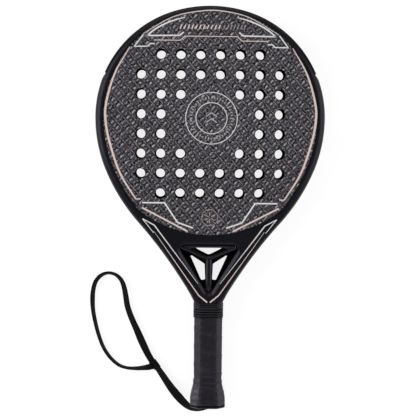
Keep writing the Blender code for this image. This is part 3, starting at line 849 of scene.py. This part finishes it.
def stud_points():
    """Corners, edge middles, apex and ridge middles of every stud, and the bands' middles."""
    size = BAND_WAVE.x * LINE_WAVE.y - BAND_WAVE.y * LINE_WAVE.x
    steps = (-0.5, -STUD_HALF, 0.0, STUD_HALF)
    marks = [(u, v) for u in steps for v in steps]
    marks += [(u * STUD_HALF / 2, v * STUD_HALF / 2) for u in (-1, 1) for v in (-1, 1)]
    for i in range(-14, 34):
        for j in range(-34, 14):
            for u, v in marks:
                a, b = i + u + STUD_PHASE[0], j + v + STUD_PHASE[1]
                x, y = a * LINE_WAVE.y - b * BAND_WAVE.y, b * BAND_WAVE.x - a * LINE_WAVE.x
                yield x / size, y / size


def make_face(name, sign, material, wall, node):
    """One hitting surface: studs, a soft outer edge and a small round over into each hole."""
    top = MID_Z + sign * HALF
    low = top - sign * FACE_SHEET
    outline = face_loop(0.0, FACE_FOOT_RADIUS)
    inset = face_loop(-0.0004, FACE_FOOT_RADIUS - 0.0004)

    def level(x, y):
        return top + sign * stud_height(x, y)

    outer = [[Vector((*p, level(*p))) for p in inset]]
    outer += [[Vector((*p, z)) for p in outline] for z in (top - sign * 0.0004, low)]
    spots = np.array(list(stud_points()))
    keep = inside(spots, face_loop(-0.0008, FACE_FOOT_RADIUS - 0.0008))
    holes = []
    for x, y in hole_centres():
        rim = [Vector((p.x, p.y, level(p.x, p.y))) for p in circle(x, y, HOLE_RADIUS + 0.0004, top)]
        steps = ((0.00012, 0.0003), (0.0, 0.0006), (0.0, FACE_SHEET))
        holes.append([rim] + [circle(x, y, HOLE_RADIUS + grow, top - sign * drop) for grow, drop in steps])
        keep &= np.hypot(spots[:, 0] - x, spots[:, 1] - y) > HOLE_RADIUS + 0.0008
    made = plan_solid(name, outer, holes, lambda x, y: (level(x, y), low), spots[keep], sharp=50)
    flat = np.array([abs(face.normal.z) > 0.97 for face in made.data.polygons])
    made.data.polygons.foreach_set("use_smooth", ~flat)
    shown(made, material, "face_rough", node)
    # The hole walls and the round-over into them take the matte black: on the walls their own black, on the
    # round-over a painted shade.
    second_material(made, wall, lambda centre, normal: abs(normal.z) < 0.93)


def make_core(material):
    half = HALF - FACE_SHEET - GAP
    loop = face_loop(-0.0100, FACE_FOOT_RADIUS - 0.007)
    holes = [
        [circle(x, y, HOLE_RADIUS - CORE_BULGE, MID_Z + side) for side in (half, -half)]
        for x, y in hole_centres()
    ]
    core = plan_solid("foam_core_fine", [raised(loop, half), raised(loop, -half)], holes)
    shown(core, material, "core_foam", "foam_core")


def clip_line(origin, run, loop, centres, clear):
    """Stretches of a line that lie inside the outline and outside every hole."""
    hits = []
    normal = Vector((-run.y, run.x))
    for a, b in zip(loop, loop[1:] + loop[:1]):
        da, db = (a - origin).dot(normal), (b - origin).dot(normal)
        if (da > 0) != (db > 0):
            hits.append((a.lerp(b, da / (da - db)) - origin).dot(run))
    hits.sort()
    stretches = list(zip(hits[0::2], hits[1::2]))
    for centre in centres:
        away = (centre - origin).dot(normal)
        if abs(away) < clear:
            middle = (centre - origin).dot(run)
            reach = math.sqrt(clear * clear - away * away)
            split = []
            for low, high in stretches:
                split.append((low, min(high, middle - reach)))
                split.append((max(low, middle + reach), high))
            stretches = [(low, high) for low, high in split if high > low]
    return [(low, high) for low, high in stretches if high - low > 0.002]


def make_relief(name, sign, material):
    """The raised bands and the pairs of thin lines that part the studs."""
    shape = bmesh.new()
    loop = face_loop(-0.0012, FACE_FOOT_RADIUS - 0.0012)
    centres = [Vector(c) for c in hole_centres()]
    base = MID_Z + sign * (HALF + STUD_FOOT - 0.00002)
    kinds = (
        (BAND_WAVE, STUD_PHASE[0] + 0.5, 0.0, 0.00110, 0.00007),
        (LINE_WAVE, STUD_PHASE[1] + 0.5, 0.00052, 0.00034, 0.00009),
        (LINE_WAVE, STUD_PHASE[1] + 0.5, -0.00052, 0.00034, 0.00009),
    )
    for wave, phase, shift, wide, tall in kinds:
        across = wave.normalized()
        run = Vector((-across.y, across.x))
        for k in range(-20, 36):
            origin = across * ((k + phase) / wave.length + shift)
            for low, high in clip_line(origin, run, loop, centres, HOLE_RADIUS + 0.0007):
                rings = []
                for along, size in ((low, 0.2), (low + 0.0003, 1.0), (high - 0.0003, 1.0), (high, 0.2)):
                    ring = []
                    for side, lift in ((0.5, 0.0), (0.36, 1.0), (-0.36, 1.0), (-0.5, 0.0)):
                        p = origin + run * along + across * wide * side
                        ring.append(Vector((p.x, p.y, base + sign * tall * lift * size)))
                    rings.append(ring)
                add_loft(shape, rings)
    shown(mesh_object(name, shape, 20), material, "face_rough")


# Prints: thin raised strips


def add_strip(shape, line, widths, sign, closed=False, lift=0.00013):
    """A strip along a line of the plan, lying on the surface, with mitred corners."""
    spots = [Vector(p) for p in line]
    runs = [(b - a).normalized() for a, b in zip(spots, spots[1:] + spots[:1])]
    rings = []
    for i, spot in enumerate(spots):
        meet = [runs[i - 1], runs[i]]
        if not closed and i in (0, len(spots) - 1):
            meet = meet[1:] if i == 0 else meet[:1]
        mean = sum(meet, Vector((0.0, 0.0))).normalized()
        across = Vector((-mean.y, mean.x))
        stretch = 1.0 / max(0.5, across.dot(Vector((-meet[0].y, meet[0].x))))
        reach = across * widths[i] / 2 * min(stretch, 1.6)
        left, right = spot + reach, spot - reach
        ring = []
        for p, up in ((left, -0.00012), (left, lift), (right, lift), (right, -0.00012)):
            ring.append(Vector((p.x, p.y, MID_Z + sign * (surface_z(p.x, p.y) + up - MID_Z))))
        rings.append(ring)
    add_loft(shape, rings, closed)


def dense(line, widths, step=0.004):
    """The same line with extra points, so that a strip follows a curved surface."""
    out, wide = [Vector(line[0])], [widths[0]]
    for a, b, wa, wb in zip(line, line[1:], widths, widths[1:]):
        a, b = Vector(a), Vector(b)
        steps = max(1, math.ceil((b - a).length / step))
        for k in range(1, steps + 1):
            out.append(a.lerp(b, k / steps))
            wide.append(wa + (wb - wa) * k / steps)
    return out, wide


def even(points, width):
    return dense(points, [width] * len(points))


def curve_through(points, widths, count=40):
    """A smooth line of the plan through a few points."""
    spots, where = smooth_route([(*p, 0.0) for p in points], count)
    return [p.xy for p in spots], list(np.interp(where, range(len(widths)), widths))


# Points and widths in mm. Lines of one side are given for the right and mirrored to the left
SIDE_ROSE = mm(
    (91.5, 180.6), (108.1, 150.9), (117.6, 118.3), (118.1, 97.0), (113.1, 72.1), (101.6, 39.2), (83.9, 10.4),
)
SIDE_ROSE_WIDTHS = mm(0.8, 1.9, 2.4, 2.5, 2.4, 2.1, 1.5)
SIDE_HOOK = mm((83.9, 10.4), (78.4, 10.6))
CROWN_ROSE = mm((-75.9, 195.2), (-42.8, 214.1), (-10.1, 221.2), (14.0, 221.0), (42.8, 214.1), (75.9, 195.2))
CROWN_ROSE_WIDTHS = mm(0.6, 0.9, 1.2, 1.2, 0.9, 0.6)
CROWN_WHITE_ARC = mm((30.0, 213.8), (41.0, 210.9), (53.0, 206.2), (64.0, 199.9), (72.2, 193.2))
CROWN_WHITE_WIDTHS = mm(0.9, 1.5, 1.7, 1.7, 1.5)
CROWN_WHITE_FOOT = mm((72.4, 193.2), (36.0, 193.7), (31.4, 197.4))
SMALL_WHITE = mm((76.5, 194.3), (86.3, 181.0), (71.6, 181.3), (68.9, 184.2), (63.4, 184.2))
STEP_ROSE = mm((-63.7, 188.3), (-34.4, 188.3), (-29.5, 192.9), (29.5, 192.9), (34.4, 188.0), (63.7, 188.0))
FOOT_WHITE = mm((76.4, 6.4), (51.3, 6.4), (36.7, -15.5), (19.0, -21.8))
FOOT_ROSE = mm((78.0, 1.0), (26.4, -25.5))
NECK_WHITE = mm((75.9, -11.7), (62.5, -18.9), (12.9, -84.7))
NECK_WHITE_WIDTHS = mm(1.0, 1.35, 0.45)
NECK_BRANCH = mm((75.9, -11.7), (63.3, -27.3))
NECK_BRANCH_WIDTHS = mm(0.9, 0.7)
NECK_ROSE = mm((62.0, -25.9), (11.3, -98.2), (1.6, -106.2))
NECK_ROSE_WIDTHS = mm(0.4, 1.2, 1.6)
NECK_BAND = mm((73.5, -13.6), (62.5, -22.4), (12.0, -92.4))
EMBLEM = Vector((0.0013, 0.1017))
FOOT_EMBLEM = Vector((0.0003, -0.0099))


def add_both(shape, line, sign, slip=0.0, **settings):
    """A line on the right and its mirror image on the left, which was printed slip to the right."""
    points, widths = line
    add_strip(shape, points, widths, sign, **settings)
    add_strip(shape, [Vector((slip - p.x, p.y)) for p in points], widths, sign, **settings)


def add_ring(shape, centre, radius, width, sign, sides=96):
    line = [p.xy for p in circle(*centre, radius, 0.0, sides)]
    add_strip(shape, line, [width] * sides, sign, closed=True)


def add_rays(shape, centre, count, start, sizes, width, sign):
    """Short strips that point away from a centre, each from sizes(i)[0] to sizes(i)[1] away."""
    for i in range(count):
        angle = 2 * math.pi * (i + start) / count
        out = Vector((math.cos(angle), math.sin(angle)))
        add_strip(shape, [centre + out * size for size in sizes(i)], [width, width], sign)


def add_ticks(shape, left, pitch, count, width, sign):
    """A row of slanted ticks below the crown."""
    for x in (left + i * pitch for i in range(count)):
        add_strip(shape, [(x, 0.2010), (x + 0.0018, 0.2058)], [width, width], sign)


def tick_ends(i):
    size = 0.0012 if i % 4 else 0.0019
    return 0.0231 - size, 0.0231 + size


def make_white_prints(tag, sign, line_paint, soft_paint):
    lines, face, marks = bmesh.new(), bmesh.new(), bmesh.new()
    for line in (dense(NECK_WHITE, NECK_WHITE_WIDTHS), dense(NECK_BRANCH, NECK_BRANCH_WIDTHS)):
        add_both(lines, line, sign, 0.0007)
    shown(mesh_object("neck_white_" + tag, lines), line_paint, "print_white")
    for line in (
        curve_through(CROWN_WHITE_ARC, CROWN_WHITE_WIDTHS, 24), even(CROWN_WHITE_FOOT, 0.0016),
        even(SMALL_WHITE, 0.0013), even(FOOT_WHITE, 0.0017),
    ):
        add_both(face, line, sign, 0.0008)
    for radius in (0.0289, 0.0174):
        add_ring(face, EMBLEM, radius, 0.00085, sign)
    shown(mesh_object("face_white_" + tag, face), line_paint, "print_white")
    # Plain ticks between the emblem's rings, and two plain chevrons inside
    add_rays(marks, EMBLEM, 44, 0.0, tick_ends, 0.0010, sign)
    for low in (-0.0048, 0.0018):
        arms = [EMBLEM + Vector((x, low + y)) for x, y in ((-0.0062, 0.0), (0.0, 0.0042), (0.0062, 0.0))]
        add_strip(marks, arms, [0.0012] * 3, sign)
    shown(mesh_object("emblem_marks_" + tag, marks), soft_paint, "print_white")


def make_rose_prints(tag, sign, line_paint, faint_paint):
    shape, faint = bmesh.new(), bmesh.new()
    for line, slip in (
        (curve_through(SIDE_ROSE, SIDE_ROSE_WIDTHS, 70), 0.0010), (even(SIDE_HOOK, 0.0013), 0.0010),
        (even(FOOT_ROSE, 0.0018), 0.0019), (dense(NECK_ROSE, NECK_ROSE_WIDTHS), 0.0),
    ):
        add_both(shape, line, sign, slip)
    for line in (curve_through(CROWN_ROSE, CROWN_ROSE_WIDTHS, 60), even(STEP_ROSE, 0.0009)):
        add_strip(shape, *line, sign)
    add_ticks(shape, -0.0345, 0.0043, 11, 0.0013, sign)
    shown(mesh_object("rose_prints_" + tag, shape), line_paint, "print_rose")
    add_ring(faint, FOOT_EMBLEM, 0.0091, 0.0006, sign, 64)
    add_rays(faint, FOOT_EMBLEM, 6, 0.5, lambda i: (0.0018, 0.0062), 0.0009, sign)
    add_ticks(faint, 0.0140, 0.0038, 7, 0.0009, sign)
    shown(mesh_object("faint_prints_" + tag, faint), faint_paint, "print_rose")


def make_neck_bands(tag, sign, paint):
    shape = bmesh.new()
    add_both(shape, dense(NECK_BAND, mm(1.2, 3.4, 2.4)), sign, lift=0.00005)
    shown(mesh_object("neck_band_" + tag, shape), paint, "neck_lacquer")


# Throat insert


WINDOWS = (
    (((-0.0182, -0.0443), (0.0182, -0.0443), (0.0, -0.0540)), (0.0008, 0.0008, 0.0022)),
    (((0.0222, -0.0520), (0.0084, -0.0826), (0.0038, -0.0821), (0.0047, -0.0632)),
     (0.0010, 0.0015, 0.0012, 0.0025)),
)
YOKE = Vector((0.0, -0.0572))
ARM_ENDS = (Vector((0.0345, -0.0420)), Vector((-0.0345, -0.0420)))
STEM_END = Vector((0.0, -0.0930))
INSERT_FLOOR = 0.0060
FAN_START = 0.0855
FAN_SLOPE = 0.42


def near_segment(spot, a, b):
    """Distance to a segment, and how far along it the nearest point is."""
    run = b - a
    t = min(1.0, max(0.0, (spot - a).dot(run) / run.length_squared))
    return (spot - (a + run * t)).length, t


def insert_half(x, y):
    """Half thickness of the insert over a point: a low rim with a raised Y across it."""
    spot = Vector((x, y))
    run = -y - FAN_START
    heights = [INSERT_FLOOR, 0.0150 - 0.20 * max(0.0, -0.0416 - y) - 3.0 * max(0.0, -0.0447 - y)]
    if run > 0:
        fan = INSERT_FLOOR + 0.0030 + FAN_SLOPE * run - 1.2 * max(0.0, abs(x) - 0.0022 - 0.35 * run)
        heights.append(min(fan, half_at(y) - 0.0036))
    for end in ARM_ENDS:
        away, t = near_segment(spot, YOKE, end)
        crest = 0.0140 + 0.0030 * t * t
        heights.append(crest - 0.8 * max(0.0, away - 0.0004) - 4.0 * max(0.0, away - 0.0025))
    away, t = near_segment(spot, YOKE, STEM_END)
    crest = 0.0140 - 0.0020 * t ** 6
    heights.append(crest - 0.5 * max(0.0, away - 0.0012) - 4.0 * max(0.0, away - 0.0036))
    return max(heights)


def make_insert(material, shade_black):
    def ring(points, sign, lower=0.0):
        return [raised([p], sign * (insert_half(p.x, p.y) - lower))[0] for p in points]

    inset = RECESS_STEPS[-1][1] + GAP / 3
    radii = [max(0.0012, r - inset) for r in RECESS_RADII]
    outline = rounded_polygon(RECESS, radii, (inset, inset, inset), 8)
    outline = split_edges(outline, lambda length: max(1, round(length / 0.0008)))
    corners, rounding = WINDOWS[1]
    left = [(-x, y) for x, y in corners], rounding
    holes = []
    for corners, rounding in (*WINDOWS, left):
        radii = [r + 0.0001 for r in rounding]
        wide, tight = (
            split_edges(rounded_polygon(corners, radii, [grow] * len(corners)), lambda length: 10)
            for grow in (-0.0004, 0.0)
        )
        holes.append([ring(wide, 1), ring(tight, 1, 0.0007), ring(tight, -1, 0.0007), ring(wide, -1)])
    step = 0.0007
    across, down = np.arange(-0.036, 0.0361, step), np.arange(-0.0985, -0.041, step)
    grid = np.array([(x, y) for y in down for x in across])
    keep = inside(grid, outline)
    for stack in holes:
        keep &= ~inside(grid, stack[0])
    grid = grid[keep]
    rims = np.array([p.xy for p in outline] + [p.xy for stack in holes for p in stack[0]])
    near = [np.hypot(*(rims - spot).T).min() < step * 0.55 for spot in grid]

    def heights(x, y):
        half = insert_half(x, y)
        return MID_Z + half, MID_Z - half

    made = plan_solid("throat_web", [ring(outline, 1), ring(outline, -1)], holes, heights,
                      grid[~np.array(near)], sharp=60)
    shown(made, material, "insert_plastic", "throat_insert")

    # Painted shade: the insert's steep walls and its low rim take the matte black.
    def on_wall(centre, normal):
        return abs(normal.z) < 0.3 or abs(centre.z - MID_Z) < INSERT_FLOOR + 0.0012

    second_material(made, shade_black, on_wall)


# Handle


HANDLE_FLAT = 0.00125
HANDLE_CUT = 0.40
FLARE_START = -0.198
FLARE_END = -0.216
FLARE = 0.0038
WRAP_HALF = 0.016
WRAP_PITCH = 0.0205
COLLAR_HALF = 0.0169
CAP_FLANGE_Y = -0.224
CAP_FLANGE_HALF = 0.0199
PLUG_TAIL_Y = -0.2176
SAMPLES = 144


def octagon_ring(half, rounding, samples=SAMPLES):
    """An eight-sided section with soft corners, as evenly spaced (x, z) points."""
    wide, thick = half, half - HANDLE_FLAT
    cut = half * HANDLE_CUT
    corners = [(wide, thick - cut), (wide - cut, thick), (cut - wide, thick), (-wide, thick - cut)]
    corners += [(-x, -z) for x, z in corners]
    loop = rounded_polygon(corners, [rounding] * 8, [0.0] * 8)
    rows = np.array(loop + loop[:1])
    run = run_along(rows)
    spaced = np.linspace(0.0, run[-1], samples, endpoint=False)
    return np.stack([np.interp(spaced, run, column) for column in rows.T], axis=1)


def wrap_phase(turn, y):
    """How far a point is along its own winding, from 0 at the overlap's edge to 1 at the next."""
    return (turn - (y + 0.1250) / WRAP_PITCH + 0.010 * math.sin(turn * 40.0)) % 1.0


def pleat_at(turn, y):
    """Slanted pleats, from -1 to 1."""
    return math.sin(turn * 260.0 + y * 1350.0 + 2.0 * math.sin(y * 310.0))


def bevel_at(x, z):
    """1 in the middle of the handle's slanted sides, and 0 on its flats."""
    return max(0.0, 1.0 - 1.6 * abs(abs(x) - abs(z)) / math.hypot(x, z))


def wrap_lift(turn, y, bevel):
    """Rise of a wound band: a soft overlap edge that climbs round the handle, with small puckers.

    bevel is 1 on the handle's slanted sides, where the pull leaves slanted pleats, and 0 on its flats.
    """
    phase = wrap_phase(turn, y)
    ridge = 0.00045 * math.exp(-phase * 11.0) * ease(phase, 0.0, 0.035)
    dip = -0.00022 * math.exp(-(1.0 - phase) * 24.0)
    pucker = math.sin(turn * 151.0 + y * 1500.0) + 0.7 * math.sin(turn * 83.0 - y * 2100.0)
    pucker *= 0.00007 * (0.25 + math.exp(-phase * 6.0))
    return ridge + dip + pucker + 0.00026 * pleat_at(turn, y) * bevel


def wrap_painted_highlight(turn, place, y):
    """How much painted highlight a point gets: the crests of the pleats, and the slanted sides of the flare,
    more on the left.
    """
    left = place.x < 0
    crest = max(0.0, pleat_at(turn, y)) ** 2 * (1.0 if left else 0.5)
    flare = ease(-y, -FLARE_START + 0.0005, -FLARE_START + 0.006) * (1.0 if left else 0.3)
    shine = max(0.75 * crest, flare * (0.65 + 0.35 * math.sin(y * 900.0)))
    return bevel_at(place.x, place.z - MID_Z) * shine


def make_overgrip(material):
    """The wound grip: eight-sided, spiral seams, swelling over the flared butt."""
    samples, rows = 168, 300
    rings, edges, painted_highlights = [], [], []
    for i in range(rows + 1):
        y = WRAP_HIGH + (WRAP_LOW - WRAP_HIGH) * i / rows
        flare = FLARE * ease(-y, -FLARE_START - 0.002, -FLARE_END + 0.002)
        fold = 0.00075 * math.exp(-((y - FLARE_START - 0.0008) / 0.0016) ** 2)
        dent = -0.0003 * math.exp(-((y - FLARE_START - 0.0050) / 0.0022) ** 2)
        ring = []
        for k, (x, z) in enumerate(octagon_ring(WRAP_HALF - 0.0001 + flare, 0.0030, samples)):
            turn = k / samples
            phase = wrap_phase(turn, y)
            lift = wrap_lift(turn, y, bevel_at(x, z)) + fold * (0.6 + 0.4 * math.sin(turn * 19.0)) + dent
            ring.append(Vector((x, y, z + MID_Z)) + Vector((x, 0.0, z)).normalized() * lift)
            edges.append(math.exp(-phase * 22.0) * ease(phase, 0.0, 0.02))
            painted_highlights.append(wrap_painted_highlight(turn, ring[-1], y))
        rings.append(ring)
    inner = octagon_ring(WRAP_HALF - 0.0008, 0.0024, samples)
    inner_low = octagon_ring(WRAP_HALF - 0.0008 + FLARE, 0.0024, samples)
    backs = ((WRAP_LOW, inner_low), (FLARE_END, inner_low), (FLARE_START, inner), (WRAP_HIGH, inner))
    rings += [upright(y, section) for y, section in backs]
    made = loft("overgrip_wound", rings, 40, closed=True)
    no_wear_no_highlight = [0.0] * (len(made.data.vertices) - len(edges))
    # The crease attribute carries the painted highlight.
    add_values(made, edge=edges + no_wear_no_highlight, crease=painted_highlights + no_wear_no_highlight)
    shown(made, material, "grip_wrap", "overgrip")


# The collar's top lip and slit: distance down from its top and depth below its crests
COLLAR_LIP = mm(
    (0.0, -1.0), (0.25, -0.35), (0.6, -0.1), (1.3, -0.1), (1.55, -0.5), (1.75, -1.0), (2.2, -1.0),
    (2.4, -0.5), (2.7, -0.1), (3.4, 0.0), (3.9, -0.1), (4.1, -0.6), (4.3, -0.85), (4.6, -0.6),
)
# One of its four ribs: share of the pitch and depth in mm
RIB_PITCH = 0.0027
COLLAR_RIB = (
    (0.16, -0.50), (0.34, -0.22), (0.50, -0.04), (0.58, 0.0), (0.66, -0.08), (0.78, -0.80),
    (0.88, -1.05), (1.0, -0.75),
)
GROOVE_DEPTH = -0.00062


def collar_sections():
    """Distance from the collar's top and depth below its crests, down its length."""
    rows = list(COLLAR_LIP)
    for k in range(4):
        rows += [(0.0046 + RIB_PITCH * (k + share), depth / 1000) for share, depth in COLLAR_RIB]
    length = COLLAR_HIGH - COLLAR_LOW
    rows += [(0.0156, -0.0002), (0.0160, -0.0001), (length - 0.0004, -0.0003), (length, -0.0009)]
    return [row for row in rows if row[0] <= length]


def make_collar(material, shade_black):
    """The rubber collar: a slit below its top lip, then four soft ribs."""
    sections = collar_sections()
    rings = [
        upright(COLLAR_HIGH - down, octagon_ring(COLLAR_HALF + 0.0001 + depth, 0.0032))
        for down, depth in sections
    ]
    inner = octagon_ring(COLLAR_HALF - 0.0013, 0.0026)
    rings += [upright(y, inner) for y in (COLLAR_LOW, COLLAR_HIGH)]
    made = loft("collar_ribbed", rings, 50, closed=True)
    shown(made, material, "collar_rubber", "grip_collar")
    grooves = [(COLLAR_HIGH - b[0], COLLAR_HIGH - a[0])
               for a, b in zip(sections, sections[1:]) if a[1] + b[1] < GROOVE_DEPTH * 2]

    # Painted shade: the faces deep in the grooves between the ribs take the matte black.
    def in_groove(centre, normal):
        outside = math.hypot(centre.x, centre.z - MID_Z) > COLLAR_HALF * 0.8
        return outside and any(low < centre.y < high for low, high in grooves)

    second_material(made, shade_black, in_groove)


def make_butt_cap(material):
    """The cap's rounded flange with its bore."""
    end = BUTT_Y
    profile = (
        (CAP_FLANGE_Y, 0.0010), (CAP_FLANGE_Y - 0.0001, 0.0002), (CAP_FLANGE_Y - 0.0006, 0.0),
        (CAP_FLANGE_Y - 0.0018, 0.0001), (end + 0.0009, 0.0009), (end + 0.0003, 0.0016), (end, 0.0026),
    )
    rings = [upright(y, octagon_ring(CAP_FLANGE_HALF - cut, 0.0034)) for y, cut in profile]
    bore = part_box("butt_plug")[1].x + GAP
    turns = [math.atan2(p.z - MID_Z, p.x) for p in rings[-1]]
    for y, grow in ((end, 0.0016), (end + 0.0004, 0.0008), (end + 0.0009, 0.0008), (end + 0.0010, 0.0),
                    (CAP_FLANGE_Y + 0.0060, 0.0), (PLUG_TAIL_Y, 0.0)):
        radius = bore + grow
        rings.append(upright(y, [(radius * math.cos(t), radius * math.sin(t)) for t in turns]))
    inner = octagon_ring(0.0160, 0.0020)
    rings += [upright(y, inner) for y in (PLUG_TAIL_Y, CAP_FLANGE_Y + 0.0002)]
    shown(loft("butt_cap_fine", rings, 35, closed=True), material, "cap_plastic", "butt_cap")


def make_butt_plug(material):
    """The plug with the strap's slot, made flat in the plan and turned to face the butt."""
    low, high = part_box("butt_plug")
    corners = ((0.0012, -0.0056), (0.0038, -0.0056), (0.0038, 0.0056), (0.0012, 0.0056))
    slot = rounded_polygon(corners, [0.0008] * 4, [0.0] * 4, 5)
    grown = rounded_polygon(corners, [0.0012] * 4, [-0.0004] * 4, 5)
    levels = (low.y, low.y + 0.0005, high.y)
    disc = [circle(0, 0, radius, y) for radius, y in zip((high.x - 0.0005, high.x, high.x), levels)]
    hole = [[Vector((*p, y)) for p in loop] for loop, y in zip((grown, slot, slot), levels)]
    plug = plan_solid("strap_plug_fine", disc, [hole])
    for vertex in plug.data.vertices:
        x, z, y = vertex.co
        vertex.co = (x, y, MID_Z + z)
    plug.data.flip_normals()
    shown(plug, material, "cap_plastic", "butt_plug")


# Inner pieces that stay as CAD made them


def dress_inner_nodes():
    foam = moulded_material("pallet_foam_cells", (0.26, 0.24, 0.18), (0.34, 0.32, 0.25), 0.8, 900.0, 0.0002)
    cushion = moulded_material("base_grip_cushion", (0.016, 0.016, 0.018), (0.028, 0.028, 0.030), 0.7)
    tape = moulded_material("tape_vinyl_film", (0.010, 0.010, 0.011), (0.016, 0.016, 0.017), 0.35)
    folded = moulded_material(
        "strap_folded_end", (0.007, 0.007, 0.008), (0.020, 0.020, 0.022), 0.8, 2200.0, 0.0001
    )
    for node, material in (
        ("handle_pallet_front", foam), ("handle_pallet_rear", foam), ("base_grip", cushion),
        ("finishing_tape", tape), ("strap_anchor", folded),
    ):
        wear(NODES[node], material)


# Floor and light


FLOOR_GLOW = 0.86
WORLD_LIGHT = 0.075
WORLD_SHOWN = 0.95
LIGHT_DISTANCE = 1.6
# Name, azimuth from +X in degrees, elevation in degrees, size in metres, power in watts
SOFT_BOXES = (
    ("light_left", 170, 34, 1.3, 14.5),
    ("light_right", 5, 34, 1.3, 9.5),
    ("light_front", -90, 36, 1.2, 6.8),
    ("light_back", 95, 36, 1.2, 4.6),
)


def make_floor():
    bpy.ops.mesh.primitive_plane_add(size=8.0, location=(0.0, 0.0, -0.0002))
    floor = bpy.context.object
    floor.name = "floor"
    paint = Paint("floor_paper")
    paper = paint.noise(paint.place(), 30.0)
    wear(floor, paint.finish(
        paper, 0.0, Base_Color=paint.mix(paint.ramp(paper, 0.3, 0.7), (0.27, 0.27, 0.27), (0.29, 0.29, 0.29)),
        Roughness=0.9, Specular_IOR_Level=0.1, Emission_Color=(1.0, 1.0, 1.0), Emission_Strength=FLOOR_GLOW,
    ))


def make_world():
    """The backdrop looks pale, but lights the racket as a dim room would."""
    world = bpy.data.worlds.new("studio")
    world.use_nodes = True
    nodes, links = world.node_tree.nodes, world.node_tree.links
    nodes["Background"].inputs["Color"].default_value = (1.0, 1.0, 1.0, 1.0)
    rays = nodes.new("ShaderNodeLightPath")
    strength = nodes.new("ShaderNodeMapRange")
    strength.inputs["To Min"].default_value = WORLD_LIGHT
    strength.inputs["To Max"].default_value = WORLD_SHOWN
    links.new(rays.outputs["Is Camera Ray"], strength.inputs["Value"])
    links.new(strength.outputs["Result"], nodes["Background"].inputs["Strength"])
    bpy.context.scene.world = world


def make_lights():
    for name, azimuth, elevation, size, power in SOFT_BOXES:
        data = bpy.data.lights.new(name, "AREA")
        data.shape = "SQUARE"
        data.size = size
        data.energy = power
        made = link(name, data)
        a, e = math.radians(azimuth), math.radians(elevation)
        away = Vector((math.cos(a) * math.cos(e), math.sin(a) * math.cos(e), math.sin(e)))
        made.location = away * LIGHT_DISTANCE
        made.rotation_euler = away.to_track_quat("Z", "Y").to_euler()


def build():
    bpy.context.scene.view_settings.view_transform = "Standard"
    make_camera()
    make_strap(webbing_material())
    lacquer = lacquer_material("frame_gloss", (0.0055, 0.0056, 0.0074), (0.0085, 0.0087, 0.0114), 0.30)
    # Matte black painted shade for the throat's deep walls, the insert's walls and low rim and the collar's
    # grooves; the faces' hole walls take it too.
    shade_black = moulded_material(
        "painted_shade_black", (0.0015, 0.0015, 0.0018), (0.0035, 0.0035, 0.0040), 0.9, 1500.0, 0.00005, gloss=0.0
    )
    satin = moulded_material(
        "side_satin", (0.0050, 0.0050, 0.0062), (0.0080, 0.0080, 0.0098), 0.36, 900.0, 0.00003, gloss=0.09
    )
    make_frame(lacquer, shade_black, satin)
    make_protector(moulded_material(
        "guard_black", (0.0030, 0.0030, 0.0037), (0.0052, 0.0052, 0.0062), 0.42, 1800.0, gloss=0.03
    ))
    rough = rough_face_material()
    make_face("front_face_fine", 1, rough, shade_black, "front_face")
    make_face("rear_face_fine", -1, rough, shade_black, "rear_face")
    make_relief("front_relief", 1, rough)
    make_relief("rear_relief", -1, rough)
    make_core(moulded_material(
        "core_eva", (0.0015, 0.0015, 0.0017), (0.004, 0.004, 0.0045), 0.9, 1600.0, 0.00015, gloss=0.0
    ))
    make_insert(moulded_material(
        "web_black", (0.0040, 0.0040, 0.0050), (0.0070, 0.0070, 0.0086), 0.34, 900.0, 0.00002, 0.1, 0.33
    ), shade_black)
    white = print_material("print_white_ink", (0.93, 0.93, 0.94), (0.45, 0.45, 0.46), 0.0)
    soft_white = print_material("print_white_soft", (0.55, 0.55, 0.56), (0.20, 0.20, 0.21), 0.06)
    rose = print_material("print_rose_ink", (0.95, 0.76, 0.71), (0.45, 0.34, 0.32), 0.0, 0.38)
    faint = print_material("print_rose_faint", (0.52, 0.43, 0.41), (0.12, 0.10, 0.10), 0.06, 0.45)
    black = lacquer_material("neck_gloss_band", (0.006, 0.006, 0.007), (0.010, 0.010, 0.012), 0.22)
    for tag, sign in (("front", 1), ("rear", -1)):
        make_white_prints(tag, sign, white, soft_white)
        make_rose_prints(tag, sign, rose, faint)
        make_neck_bands(tag, sign, black)
    make_overgrip(wrap_material())
    make_collar(moulded_material(
        "collar_black", (0.0085, 0.0090, 0.0104), (0.0125, 0.0130, 0.0148), 0.36, 1200.0, gloss=0.42
    ), shade_black)
    cap = moulded_material(
        "cap_black", (0.0040, 0.0040, 0.0046), (0.0065, 0.0065, 0.0075), 0.34, 1500.0, gloss=0.10
    )
    make_butt_cap(cap)
    make_butt_plug(cap)
    dress_inner_nodes()
    make_floor()
    make_world()
    make_lights()


build()
